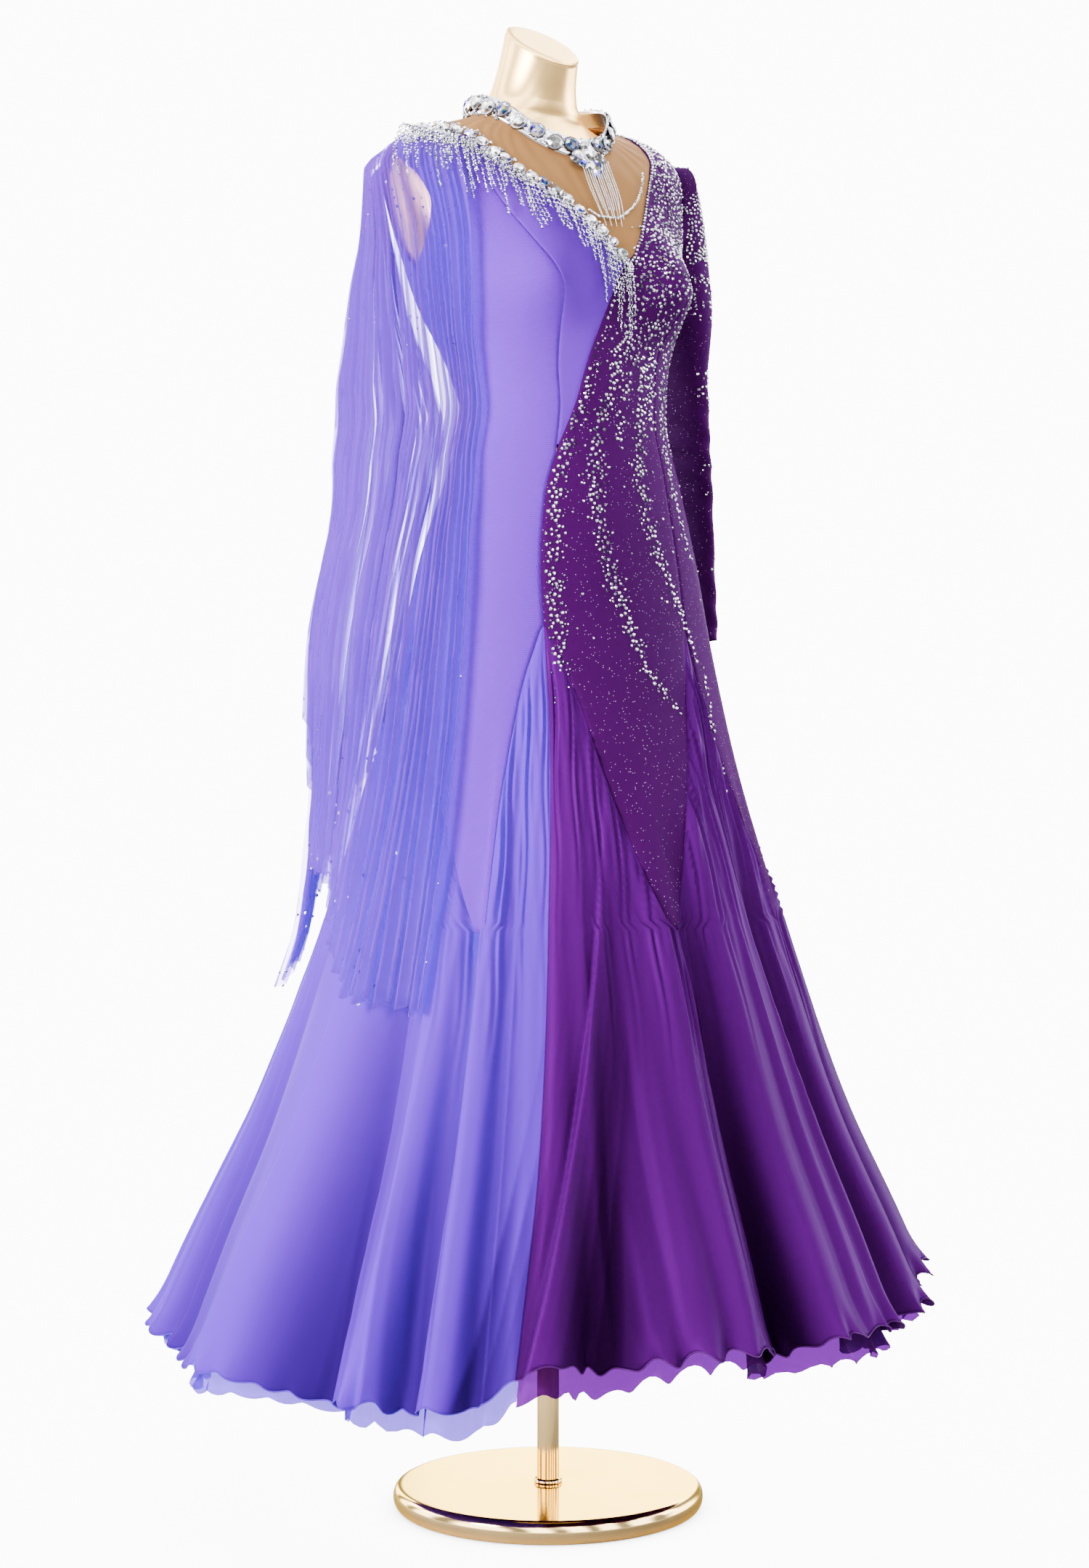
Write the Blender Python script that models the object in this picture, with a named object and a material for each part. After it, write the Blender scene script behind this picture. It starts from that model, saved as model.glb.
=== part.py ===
# Ballroom dance dress on a limbless dress form and a round-base stand.
# Metres, +Z up. The wearer faces -Y and their left is +X. The origin is the centre of the plate's base.
# Surfaces are given by a height and a turn around the body, in degrees from the front to the wearer's left.
import math

import bmesh
import bpy
import numpy as np

for old in list(bpy.data.objects):
    bpy.data.objects.remove(old, do_unlink=True)

# Driving sizes
PLATE_RADIUS = 0.1775
PLATE_HEIGHT = 0.026
PLATE_ROUND = 0.009
PLATE_SIDES = 32
POLE_RADIUS = 0.0125
POLE_SIDES = 16
SEAT_GAP = 0.0003      # between solids that touch
FORM_BOTTOM = 0.850
FORM_COLUMNS = 26
FORM_HEIGHTS = (
    FORM_BOTTOM, 0.91, 0.97, 1.03, 1.08, 1.13, 1.18, 1.21, 1.24, 1.265, 1.29, 1.33, 1.37, 1.40, 1.43,
    1.47, 1.50, 1.52, 1.54, 1.555, 1.568, 1.578, 1.588, 1.60, 1.62, 1.65,
)
NECK_RING = 1.600      # above this the neck's rings tilt with its cap
NECK_TOP = 1.679
NECK_SLANT = 0.030     # rise of the cap at the back, and drop at the front
APEX = 1.000           # height where the godets start
POINT = 0.670          # height of the panels' points
WALL = 0.0015          # cloth
CLOTH_OUT = 0.0016     # outer face of the cloth, from the body surface
SEAM_GAP = 0.0004
HEM_BAND = 0.026       # waved hem edge
HEM_WAVE = 0.0045
HEM_SPLIT = 3          # hem points for each godet column
HEM_WAVE_POINTS = 3.6  # hem points for each wave
UNDER_DROP = 0.024     # the underskirt shows this far below the hem
UNDER_IN = 0.014       # and hangs this far inside it
UNDER_SEAT = 0.0010    # at its top edge
UNDER_WAVE = 0.0035
FLOAT_WALL = 0.0012
FLOAT_SEAT = 0.0004    # from the bodice at the shoulder seam
PLEAT = 0.0035
SLEEVE_WALL = 0.0016
SLEEVE_IN = 0.0012     # inside the armhole's edge
SLEEVE_ASIDE = 0.0016  # and away from the body
YOKE_WALL = 0.0012
YOKE_OUT = 0.0014
YOKE_ASIDE = 2         # seam gaps between the yoke's two pieces
CHOKER_RADIUS_X = 0.079
CHOKER_RADIUS_Y = 0.073
CHOKER_CENTRE_Y = 0.018
CHOKER_HEIGHT = 0.022
CHOKER_STONES = 20
CHOKER_OUT = 0.004     # outside the yoke's top edge
CHOKER_UP = 0.0132     # middle of the band, above the body there
CHOKER_DROP = 1.35     # how much deeper the front motif hangs
BAND_WIDTH = 0.018
BAND_WALL = 0.0022
STONE_RISE = 0.0030

# Body sections: height, half breadth, front depth, back depth, centre line's y
SECTIONS = (
    ("height", "half_breadth", "front", "back", "centre_y"),
    (0.150, 0.436, 0.436, 0.436, 0.000),
    (0.200, 0.422, 0.422, 0.422, 0.000),
    (0.320, 0.376, 0.376, 0.376, 0.000),
    (0.450, 0.321, 0.320, 0.321, -0.001),
    (0.580, 0.278, 0.274, 0.276, -0.004),
    (0.710, 0.241, 0.231, 0.238, -0.008),
    (0.840, 0.208, 0.191, 0.200, -0.012),
    (0.970, 0.184, 0.156, 0.164, -0.017),
    (1.080, 0.166, 0.130, 0.137, -0.023),
    (1.180, 0.138, 0.106, 0.110, -0.031),
    (1.240, 0.122, 0.097, 0.100, -0.032),
    (1.290, 0.130, 0.103, 0.106, -0.022),
    (1.380, 0.162, 0.120, 0.120, 0.003),
    (1.430, 0.176, 0.118, 0.121, 0.012),
    (1.470, 0.188, 0.111, 0.117, 0.019),
    (1.520, 0.198, 0.094, 0.103, 0.027),
    (1.540, 0.190, 0.084, 0.093, 0.030),
    (1.555, 0.172, 0.075, 0.084, 0.032),
    (1.568, 0.142, 0.068, 0.077, 0.034),
    (1.578, 0.110, 0.062, 0.070, 0.035),
    (1.588, 0.082, 0.056, 0.063, 0.035),
    (1.600, 0.066, 0.052, 0.057, 0.034),
    (1.620, 0.055, 0.050, 0.051, 0.029),
    (1.650, 0.048, 0.048, 0.048, 0.020),
    (1.690, 0.044, 0.046, 0.046, 0.008),
)
BUST = {
    "height": 1.385, "side": 0.088, "rise": 0.046, "spread": 0.050, "up": 0.060, "down": 0.045, "out": 0.25,
}

# The cloth's padded shoulder above the long sleeve: height, and how far it is lifted
SHOULDER_LIFT = (
    (1.30, 0.0), (1.43, 0.002), (1.47, 0.008), (1.52, 0.020), (1.55, 0.024), (1.565, 0.0215), (1.578, 0.013),
    (1.588, 0.005), (1.60, 0.0),
)

# How far the form lies inside the cloth's inner face: height, ease
FORM_EASE = (
    (0.85, 0.006), (1.10, 0.005), (1.24, 0.009), (1.38, 0.005), (1.44, 0.0032), (1.50, 0.006), (1.55, 0.012),
    (1.575, 0.0165), (1.60, 0.0035),
)
FORM_BUST = 0.80       # share of the cloth's bust

# Seams, as height and turn. The skirt's stretch runs on to the hem.
COLOUR_SEAM = (
    (0.15, -40.5), (0.30, -38.5), (0.45, -36.5), (0.67, -35.0), (0.88, -34.0), (1.00, -35.4),
    (1.08, -36.6), (1.14, -36.6), (1.20, -31.6), (1.215, -29.2), (1.25, -22.6), (1.297, -13.8),
    (1.343, -5.0), (1.42, 9.2),
)
PRINCESS_SEAM = (
    (1.20, -32.7), (1.276, -30.6), (1.334, -26.5), (1.366, -25.4), (1.42, -32.0), (1.55, -44.0),
)
PURPLE_SEAM = ((1.00, 26.3), (1.10, 28.5), (1.20, 31.0), (1.38, 33.0), (1.55, 46.0))
SIDE_SEAM = ((1.00, 95.0), (1.40, 94.0), (1.54, 90.5), (1.60, 90.0))
# Armhole: height, and the turn it takes away from the side seam
ARMHOLE = (
    (1.40, 0.0), (1.425, 12.0), (1.45, 21.0), (1.475, 25.0), (1.50, 22.0), (1.522, 12.0), (1.542, 0.0),
)
ARMHOLE_BACK = 0.85    # share of that turn at the back

# Panel points below the seams: turn of each point, then heights and turns of the edges that lead to it
PANEL_EDGES = {
    "lilac_side_left": ((0.67, -53.5), (0.786, -66.0), (0.90, -82.0), (1.00, -95.0)),
    "lilac_side_right": ((0.67, -50.5), (0.80, -49.0), (0.92, -44.0), (1.00, -36.2)),
    "purple_front_left": ((0.67, -4.5), (0.725, -8.8), (0.80, -14.6), (0.92, -24.5), (1.00, -34.6)),
    "purple_front_right": ((0.67, -1.0), (0.787, 7.5), (0.883, 16.4), (1.00, 26.0)),
    "purple_side_left": ((0.67, 45.0), (0.786, 40.0), (0.90, 31.0), (1.00, 26.6)),
    "purple_side_right": ((0.67, 49.0), (0.786, 62.0), (0.90, 80.0), (1.00, 94.6)),
    "purple_back_left": ((0.67, 136.0), (0.80, 125.0), (0.92, 108.0), (1.00, 95.4)),
    "purple_back_right": ((0.67, 140.0), (0.80, 150.0), (0.92, 166.0), (1.00, 179.6)),
    "lilac_back_left": ((0.67, 220.0), (0.80, 210.0), (0.92, 194.0), (1.00, 180.4)),
    "lilac_back_right": ((0.67, 224.0), (0.80, 235.0), (0.92, 251.0), (1.00, 264.6)),
}
GODET_SEAMS = {
    "front_lilac": -52.0, "front_purple": -2.75, "hip_purple": 47.0, "back_purple": 138.0,
    "back_lilac": 222.0,
}

# Neckline and hem, as turn and height
NECKLINE = (
    (-180, 1.500), (-150, 1.512), (-120, 1.540), (-90, 1.561), (-66, 1.556), (-44, 1.547), (-31, 1.522),
    (-25, 1.507), (-15, 1.484), (-8, 1.464), (0, 1.441), (9.2, 1.415), (14, 1.436), (21, 1.470), (36, 1.534),
    (60, 1.572), (90, 1.585), (120, 1.560), (150, 1.520), (180, 1.500),
)
HEM = (
    (-180, 0.262), (-138, 0.222), (-118, 0.205), (-90, 0.203), (-60, 0.198), (-45, 0.200), (-36, 0.226),
    (-29, 0.240), (0, 0.244), (36, 0.240), (50, 0.256), (62, 0.272), (120, 0.272), (180, 0.262),
)

# Skirt folds: turn at the top and the hem, half width in degrees, height at the hem, height where it starts
FOLDS = (
    ("top", "hem", "half_width", "height", "start"),
    (-85, -87, 14.0, 0.030, 0.90), (-62, -66, 5.0, -0.040, 0.84), (-57, -59, 3.6, 0.012, 0.80),
    (-52, -54.5, 3.2, -0.028, 0.78), (-46, -49, 4.0, 0.012, 0.92), (-41, -44, 3.2, -0.022, 0.95),
    (-34, -34, 6.0, 0.028, 0.96), (-26, -24, 4.5, -0.014, 0.86), (-18, -12, 8.0, 0.020, 0.90),
    (2, -2, 4.2, -0.050, 0.74), (12, 9, 7.0, 0.020, 0.86), (21, 19, 3.6, -0.028, 0.92),
    (27, 28, 5.0, 0.016, 0.98), (36, 39, 4.2, -0.034, 0.90), (52, 54, 9.0, 0.030, 1.10),
    (66, 69, 4.4, -0.032, 0.76), (81, 82, 6.0, 0.024, 0.86), (90, 93, 3.6, -0.024, 0.84),
    (100, 102, 6.0, 0.026, 0.96), (112, 114, 4.6, -0.034, 0.80), (125, 126, 6.5, 0.022, 0.80),
    (138, 138, 5.0, -0.040, 0.68), (152, 153, 8.0, 0.026, 0.80), (166, 167, 4.6, -0.032, 0.82),
    (180, 181, 8.0, 0.028, 0.98), (195, 196, 5.0, -0.034, 0.80), (209, 210, 8.0, 0.022, 0.80),
    (222, 223, 5.0, -0.040, 0.68), (237, 238, 9.0, 0.028, 0.80), (250, 253, 5.0, -0.028, 0.80),
)

COLUMNS = {
    "lilac_side": 7, "lilac_front": 4, "purple_front": 8, "purple_side": 7, "purple_back": 8, "lilac_back": 8,
    "godet_lilac_front": 4, "godet_purple_front": 11, "godet_purple_side": 12, "godet_purple_hip": 14,
    "godet_purple_back": 8, "godet_lilac_back": 8, "godet_lilac_side": 16,
}
WAIST = 1.20           # where the two front seams part
# Share of the way from the waist to the neckline, and from the points to the hem
BODICE_ROWS = (1.0, 0.96, 0.91, 0.86, 0.80, 0.70, 0.59, 0.47, 0.34, 0.20, 0.0)
HIP_HEIGHTS = (1.13, 1.06)
PANEL_HEIGHTS = (1.00, 0.91, 0.83, 0.75, 0.67)
SKIRT_ROWS = (0.0, 0.27, 0.52, 0.75, 0.92, 1.0)

# Floats: height, front edge's turn, then how far each edge and the side stand off the body
FLOAT_EDGE = ((0.58, -62.0), (0.85, -62.0), (1.00, -63.0), (1.20, -66.0), (1.40, -60.0), (1.56, -54.0))
FLOAT_SIDE_TURN = -121.0
FLOAT_PARTING = 2.5    # turn between the front float and the back one
FLOAT_BACK_TURN = ((0.58, -150.0), (1.20, -150.0), (1.40, -140.0), (1.56, -128.0))
FLOAT_OFF_FRONT = ((0.58, 0.016), (1.00, 0.016), (1.30, 0.014), (1.50, 0.012), (1.58, 0.012))
FLOAT_OFF_SIDE = (
    (0.58, 0.022), (0.65, 0.024), (0.78, 0.053), (0.91, 0.083), (1.00, 0.097), (1.10, 0.102),
    (1.24, 0.132), (1.38, 0.066), (1.47, 0.026), (1.52, 0.014), (1.58, 0.012),
)
FLOAT_OFF_BACK = ((0.58, 0.022), (1.00, 0.030), (1.24, 0.040), (1.50, 0.013), (1.58, 0.012))
FLOAT_HEM_FRONT = ((0.0, 0.585), (0.32, 0.60), (0.50, 0.66), (0.66, 0.72), (0.84, 0.74), (1.0, 0.90))
FLOAT_HEM_BACK = ((0.0, 0.59), (0.3, 0.66), (0.6, 0.76), (1.0, 0.88))
FLOAT_TOP = 1.543
FLOAT_ROWS = (0.0, 0.03, 0.14, 0.32, 0.52, 0.76, 1.0)
FLOAT_PLEATS = {"front": 18, "back": 12}

# Purple sleeve: height of the section's centre, its x and y, tilt, half width across and half depth
SLEEVE = (
    ("height", "x", "y", "tilt", "half_width", "half_depth"),
    (1.500, 0.1970, 0.026, 75.0, 0.072, 0.053),
    (1.436, 0.2030, 0.030, 48.0, 0.046, 0.055),
    (1.370, 0.2150, 0.036, 18.0, 0.030, 0.057),
    (1.310, 0.2120, 0.034, 6.0, 0.022, 0.055),
    (1.240, 0.2135, 0.028, 0.0, 0.019, 0.052),
    (1.170, 0.2200, 0.026, 0.0, 0.017, 0.048),
    (1.100, 0.2250, 0.026, 0.0, 0.016, 0.045),
    (1.015, 0.2310, 0.026, 0.0, 0.016, 0.043),
)
RUCHE = 0.0012

FRINGE_STRANDS = 38
FRINGE = {
    "from": -84.0, "to": 8.0, "thick": 0.0016, "strip": 0.005, "below": 0.0125, "half": 0.0009,
    "hang": 0.0008,
}
FRINGE_OFF = ((-84, 0.020), (-56, 0.020), (-44, 0.0051), (8, 0.0047))
FRINGE_LENGTH = ((-84, 0.040), (-60, 0.060), (-40, 0.062), (-20, 0.066), (-6, 0.080), (4, 0.086), (8, 0.050))
CHAIN_STRANDS = 12
CHAINS = {
    "turn": 5.0, "spread": 9.0, "gather": 4.0, "half_strip": 0.020, "below": 0.0006, "length": 0.080,
    "thick": 0.0014, "half": 0.0006, "off": 0.0060,
}
SWAG_ROUTE = ((36, 1.512), (33, 1.495), (28, 1.478), (22, 1.467), (17, 1.463), (13, 1.464))   # turn, height
SWAG_RADIUS = 0.0013
SWAG_OUT = 0.0040


def slopes(x, y):
    rate = np.diff(y) / np.diff(x)
    inner = [0.0 if a * b <= 0 else 2 * a * b / (a + b) for a, b in zip(rate[:-1], rate[1:])]
    return np.array([rate[0]] + inner + [rate[-1]])


def curve(pairs):
    """A smooth curve through pairs of values that never overshoots them."""
    x, y = (np.array(column, float) for column in zip(*pairs))
    m = slopes(x, y)

    def value(at):
        at = min(max(at, x[0]), x[-1])
        i = int(min(max(np.searchsorted(x, at) - 1, 0), len(x) - 2))
        step = x[i + 1] - x[i]
        t = (at - x[i]) / step
        return (
            (1 + 2 * t) * (1 - t) ** 2 * y[i] + t * (1 - t) ** 2 * step * m[i]
            + t * t * (3 - 2 * t) * y[i + 1] + t * t * (t - 1) * step * m[i + 1]
        )

    return value


section = {
    name: curve([(row[0], row[k]) for row in SECTIONS[1:]])
    for k, name in enumerate(SECTIONS[0])
    if k
}
form_ease, shoulder_lift = curve(FORM_EASE), curve(SHOULDER_LIFT)
colour_seam, princess_seam = curve(COLOUR_SEAM), curve(PRINCESS_SEAM)
purple_seam, side_seam, armhole = curve(PURPLE_SEAM), curve(SIDE_SEAM), curve(ARMHOLE)
neckline, hem_height = curve(NECKLINE), curve(HEM)
panel_edge = {name: curve(pairs) for name, pairs in PANEL_EDGES.items()}


def around(turn):
    return (turn + 180) % 360 - 180


def top_at(turn):
    return neckline(around(turn))


def hem_at(turn):
    return hem_height(around(turn))


def body(turn, height, bust=1.0, pad=1.0):
    s, c = math.sin(math.radians(turn)), math.cos(math.radians(turn))
    depth = section["front"](height) if c > 0 else section["back"](height)
    x = section["half_breadth"](height) * s
    y = section["centre_y"](height) - depth * c
    if c > 0:
        spread_z = BUST["up"] if height > BUST["height"] else BUST["down"]
        for side in (-1, 1):
            across = (x - side * BUST["side"]) / BUST["spread"]
            away = across**2 + ((height - BUST["height"]) / spread_z) ** 2
            rise = bust * BUST["rise"] * c * math.exp(-away)
            y -= rise
            x += side * BUST["out"] * rise
    return np.array([x, y, height + pad * shoulder_lift(height) * max(s, 0) ** 4])


def normal(turn, height, pad=1.0):
    along = body(turn + 0.5, height, pad=pad) - body(turn - 0.5, height, pad=pad)
    up = body(turn, height + 0.002, pad=pad) - body(turn, height - 0.002, pad=pad)
    out = np.cross(along, up)
    return out / np.linalg.norm(out)


def folds(turn, height):
    total = 0.0
    for top, hem, half_width, size, start in FOLDS[1:]:
        if height >= start:
            continue
        share = (start - height) / (start - 0.20)
        centre = hem + (top - hem) * min(max((height - 0.20) / 0.75, 0.0), 1.0)
        away = around(turn - centre) / half_width
        total += size * share**1.15 * math.exp(-0.5 * away * away)
    return total


def at(turn, height, out):
    """The point this far outside the body, with the skirt's folds."""
    return body(turn, height) + normal(turn, height) * (out + folds(turn, height))


def material(name, colour, roughness, metallic=0.0):
    made = bpy.data.materials.new(name)
    made.use_nodes = True
    shader = made.node_tree.nodes["Principled BSDF"]
    shader.inputs["Base Color"].default_value = (*colour, 1.0)
    shader.inputs["Roughness"].default_value = roughness
    shader.inputs["Metallic"].default_value = metallic
    return made


LILAC = ((0.30, 0.25, 0.75), 0.6)
LILAC_SHEER = ((0.42, 0.36, 0.85), 0.5)
PURPLE = ((0.10, 0.010, 0.23), 0.55)
PURPLE_SHEER = ((0.14, 0.012, 0.30), 0.5)
NUDE = ((0.58, 0.36, 0.19), 0.7)
GOLD = ((0.83, 0.66, 0.38), 0.15, 1.0)
PEARL = ((0.85, 0.72, 0.50), 0.25, 0.3)
SILVER = ((0.80, 0.80, 0.84), 0.15, 0.9)


def add_object(name, verts, faces, look):
    mesh = bpy.data.meshes.new(name)
    mesh.from_pydata([tuple(v) for v in verts], [], faces)
    shape = bmesh.new()
    shape.from_mesh(mesh)
    bmesh.ops.recalc_face_normals(shape, faces=shape.faces)
    if shape.calc_volume(signed=True) < 0:
        bmesh.ops.reverse_faces(shape, faces=shape.faces)
    shape.to_mesh(mesh)
    shape.free()
    mesh.shade_smooth()
    mesh.set_sharp_from_angle(angle=math.radians(40))
    made = bpy.data.objects.new(name, mesh)
    mesh.materials.append(material(name, *look))
    bpy.context.scene.collection.objects.link(made)
    return made


def shell(name, outer, inner, look, ring=False):
    """A closed wall between two grids of points. A ring joins its last column to its first."""
    rows, columns = len(outer), len(outer[0])
    verts = [p for grid in (outer, inner) for row in grid for p in row]
    half = rows * columns
    last = columns if ring else columns - 1

    def v(i, j, side):
        return side * half + i * columns + j % columns

    faces = []
    for i in range(rows - 1):
        for j in range(last):
            faces.append((v(i, j, 0), v(i, j + 1, 0), v(i + 1, j + 1, 0), v(i + 1, j, 0)))
            faces.append((v(i, j, 1), v(i + 1, j, 1), v(i + 1, j + 1, 1), v(i, j + 1, 1)))
    for j in range(last):
        faces.append((v(0, j, 0), v(0, j, 1), v(0, j + 1, 1), v(0, j + 1, 0)))
        faces.append((v(rows - 1, j, 0), v(rows - 1, j + 1, 0), v(rows - 1, j + 1, 1), v(rows - 1, j, 1)))
    if not ring:
        for i in range(rows - 1):
            faces.append((v(i, 0, 0), v(i + 1, 0, 0), v(i + 1, 0, 1), v(i, 0, 1)))
            j = columns - 1
            faces.append((v(i, j, 0), v(i, j, 1), v(i + 1, j, 1), v(i + 1, j, 0)))
    return add_object(name, verts, faces, look)


def on_body(name, grid, look, out=CLOTH_OUT, wall=WALL):
    """A cloth wall on the body from a grid of turns and heights."""
    outer = [[at(turn, height, out) for turn, height in row] for row in grid]
    inner = [[at(turn, height, out - wall) for turn, height in row] for row in grid]
    return shell(name, outer, inner, look)


def turned(name, profile, sides, look):
    """A solid turned from radius and height pairs, with flat ends."""
    verts = []
    for radius, height in profile:
        for k in range(sides):
            angle = 2 * math.pi * k / sides
            verts.append((radius * math.sin(angle), -radius * math.cos(angle), height))
    faces = [tuple(range(sides)), tuple((len(profile) - 1) * sides + k for k in range(sides))]
    for i in range(len(profile) - 1):
        for k in range(sides):
            n = (k + 1) % sides
            faces.append((i * sides + k, i * sides + n, (i + 1) * sides + n, (i + 1) * sides + k))
    return add_object(name, verts, faces, look)


def inset(turn, height, side):
    """The turn moved half a seam's gap to one side."""
    point = body(turn, height)
    radius = max(math.hypot(point[0], point[1]), 0.06)
    return turn + side * math.degrees(SEAM_GAP / 2 / radius)


def mix(a, b, t):
    return a + (b - a) * t


# Stand
def make_stand():
    profile = [(PLATE_RADIUS - PLATE_ROUND, 0.0)]
    for k in range(7):
        angle = math.radians(-75 + 25 * k)
        profile.append(
            (
                PLATE_RADIUS - PLATE_ROUND + PLATE_ROUND * math.cos(angle),
                PLATE_HEIGHT / 2 + PLATE_HEIGHT / 2 * math.sin(angle),
            )
        )
    profile.append((PLATE_RADIUS - PLATE_ROUND, PLATE_HEIGHT))
    turned("stand_base", profile, PLATE_SIDES, GOLD)
    pole = [(POLE_RADIUS, PLATE_HEIGHT + SEAT_GAP), (POLE_RADIUS, FORM_BOTTOM - SEAT_GAP)]
    turned("stand_pole", pole, POLE_SIDES, GOLD)


def make_form():
    heights = FORM_HEIGHTS + (NECK_TOP,)
    verts = []
    for height in heights:
        slant = NECK_SLANT * max(height - NECK_RING, 0) / (NECK_TOP - NECK_RING)
        for k in range(FORM_COLUMNS):
            turn = 360.0 * k / FORM_COLUMNS
            point = body(turn, height, FORM_BUST, 0.0) - normal(turn, height, 0.0) * form_ease(height)
            tilt = slant * math.cos(math.radians(turn))
            verts.append((point[0], point[1], height - tilt))
    count = FORM_COLUMNS
    faces = [tuple(range(count)), tuple((len(heights) - 1) * count + k for k in range(count))]
    for i in range(len(heights) - 1):
        for k in range(count):
            n = (k + 1) % count
            faces.append((i * count + k, i * count + n, (i + 1) * count + n, (i + 1) * count + k))
    add_object("form_torso", verts, faces, PEARL)


# Bodice: each panel's left and right edges as functions of height above the apex
def front_side(sign):
    """The front's edge at a side: the side seam, the armhole and the shoulder seam."""
    return lambda height: sign * (side_seam(height) - armhole(height))


def back_side(sign):
    base = 0.0 if sign > 0 else 360.0
    return lambda height: base + sign * (side_seam(height) + armhole(height) * ARMHOLE_BACK)


def centre_back(height):
    return 180.0


def lilac_front_edge(height):
    """Right edge of the lilac side panel: the princess seam, and below the waist the colour seam."""
    return princess_seam(height) if height >= WAIST else colour_seam(height)


UPPER_EDGES = {
    "lilac_side": (front_side(-1), lilac_front_edge),
    "lilac_front": (princess_seam, colour_seam),
    "purple_front": (colour_seam, purple_seam),
    "purple_side": (purple_seam, front_side(1)),
    "purple_back": (back_side(1), centre_back),
    "lilac_back": (centre_back, back_side(-1)),
}


def seam_points(edge, side):
    """Turns and heights of a panel's edge from the neckline down to the waist, one for each bodice row."""
    top = 1.5
    for _ in range(12):
        top = top_at(edge(top))
    points = []
    for share in BODICE_ROWS:
        height = WAIST + share * (top - WAIST)
        points.append((inset(edge(height), height, side), height))
    return points


def bodice_grid(left, right, columns):
    grid = []
    first, last = seam_points(left, 1), seam_points(right, -1)
    for i, share in enumerate(BODICE_ROWS):
        row = []
        for j in range(columns + 1):
            t = j / columns
            turn = mix(first[i][0], last[i][0], t)
            top_turn = mix(first[0][0], last[0][0], t)
            straight = mix(first[0][1], last[0][1], t)
            bend = (top_at(top_turn) - straight) if 0 < j < columns else 0.0
            height = mix(first[i][1], last[i][1], t) + bend * share**3
            row.append((turn, height))
        grid.append(row)
    return grid


def panel_foot(name, left_edge, right_edge, columns):
    """The rows from the waist to the panel's point."""
    rows = []
    for height in HIP_HEIGHTS:
        left, right = inset(left_edge(height), height, 1), inset(right_edge(height), height, -1)
        rows.append([(mix(left, right, j / columns), height) for j in range(columns + 1)])
    for height in PANEL_HEIGHTS:
        left = inset(panel_edge[name + "_left"](height), height, 1)
        right = inset(panel_edge[name + "_right"](height), height, -1)
        rows.append([(mix(left, right, j / columns), height) for j in range(columns + 1)])
    return rows


def make_bodice():
    grids = {}
    for name, (left, right) in UPPER_EDGES.items():
        columns = COLUMNS[name]
        grid = bodice_grid(left, right, columns)
        if name != "lilac_front":
            grid += panel_foot(name, left, right, columns)
        grids[name] = grid
        on_body("bodice_" + name, grid, LILAC if "lilac" in name else PURPLE)
    return grids


# Skirt
GODETS = {
    "godet_lilac_front": ("lilac_side_right", "front_lilac", "colour", None),
    "godet_purple_front": ("colour", None, "purple_front_left", "front_purple"),
    "godet_purple_side": ("purple_front_right", "front_purple", "purple_side_left", "hip_purple"),
    "godet_purple_hip": ("purple_side_right", "hip_purple", "purple_back_left", "back_purple"),
    "godet_purple_back": ("purple_back_right", "back_purple", "centre", None),
    "godet_lilac_back": ("centre", None, "lilac_back_left", "back_lilac"),
    "godet_lilac_side": ("lilac_back_right", "back_lilac", "lilac_side_left", "front_lilac"),
}


def godet_edge(edge, foot, height, side):
    if edge == "colour":
        turn = colour_seam(height)
    elif edge == "centre":
        turn = 180.0
    elif height >= POINT:
        turn = panel_edge[edge](height)
    else:
        turn = GODET_SEAMS[foot]
    return inset(turn, height, side)


def godet_grid(name):
    left, left_foot, right, right_foot = GODETS[name]
    columns = COLUMNS[name]
    grid = []
    for height in PANEL_HEIGHTS[:-1]:
        a, b = godet_edge(left, left_foot, height, 1), godet_edge(right, right_foot, height, -1)
        b += 360 if b < a else 0
        grid.append([(mix(a, b, j / columns), height) for j in range(columns + 1)])
    for share in SKIRT_ROWS:
        row = []
        for j in range(columns + 1):
            low = POINT if share == 0 else POINT - 0.01
            a, b = godet_edge(left, left_foot, low, 1), godet_edge(right, right_foot, low, -1)
            b += 360 if b < a else 0
            turn = mix(a, b, j / columns)
            height = mix(POINT, hem_at(turn) + HEM_BAND, share)
            if left == "colour" or right == "colour":
                seam = colour_seam(height)
                if left == "colour":
                    a = inset(seam, height, 1)
                else:
                    b = inset(seam, height, -1)
                turn = mix(a, b, j / columns)
            row.append((turn, height))
        grid.append(row)
    return grid


def make_godets():
    grids = {}
    for name in GODETS:
        grids[name] = godet_grid(name)
        on_body(name, grids[name], LILAC_SHEER if "lilac" in name else PURPLE_SHEER)
    return grids


def hem_rows(grids, names, drop, wave, waves_each, split):
    """Outer and inner points of a waved edge below the godets' last rows."""
    edge = []
    for name in names:
        last = grids[name][-1]
        for a, b in zip(last[:-1], last[1:]):
            edge += [(a, b, k / split) for k in range(split)]
    edge.append((last[-2], last[-1], 1.0))
    outer, inner = [[], []], [[], []]
    for n, (a, b, t) in enumerate(edge):
        swing = math.sin(2 * math.pi * n / waves_each + 0.9 * math.sin(n * 0.37))
        for level, depth in enumerate((SEAM_GAP, drop)):
            faces = [
                mix(*(at(turn, height - depth, CLOTH_OUT - wall) for turn, height in (a, b)), t)
                for wall in (0.0, WALL)
            ]
            out = normal(mix(a[0], b[0], t), a[1] - depth)
            out[2] = 0
            out /= np.linalg.norm(out)
            ripple = out * (level * wave * (swing + 0.8)) + np.array([0, 0, level * 0.5 * wave * swing])
            outer[level].append(faces[0] + ripple)
            inner[level].append(faces[1] + ripple)
    return outer, inner


LILAC_HEM = ("godet_lilac_back", "godet_lilac_side", "godet_lilac_front")
PURPLE_HEM = ("godet_purple_front", "godet_purple_side", "godet_purple_hip", "godet_purple_back")


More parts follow.
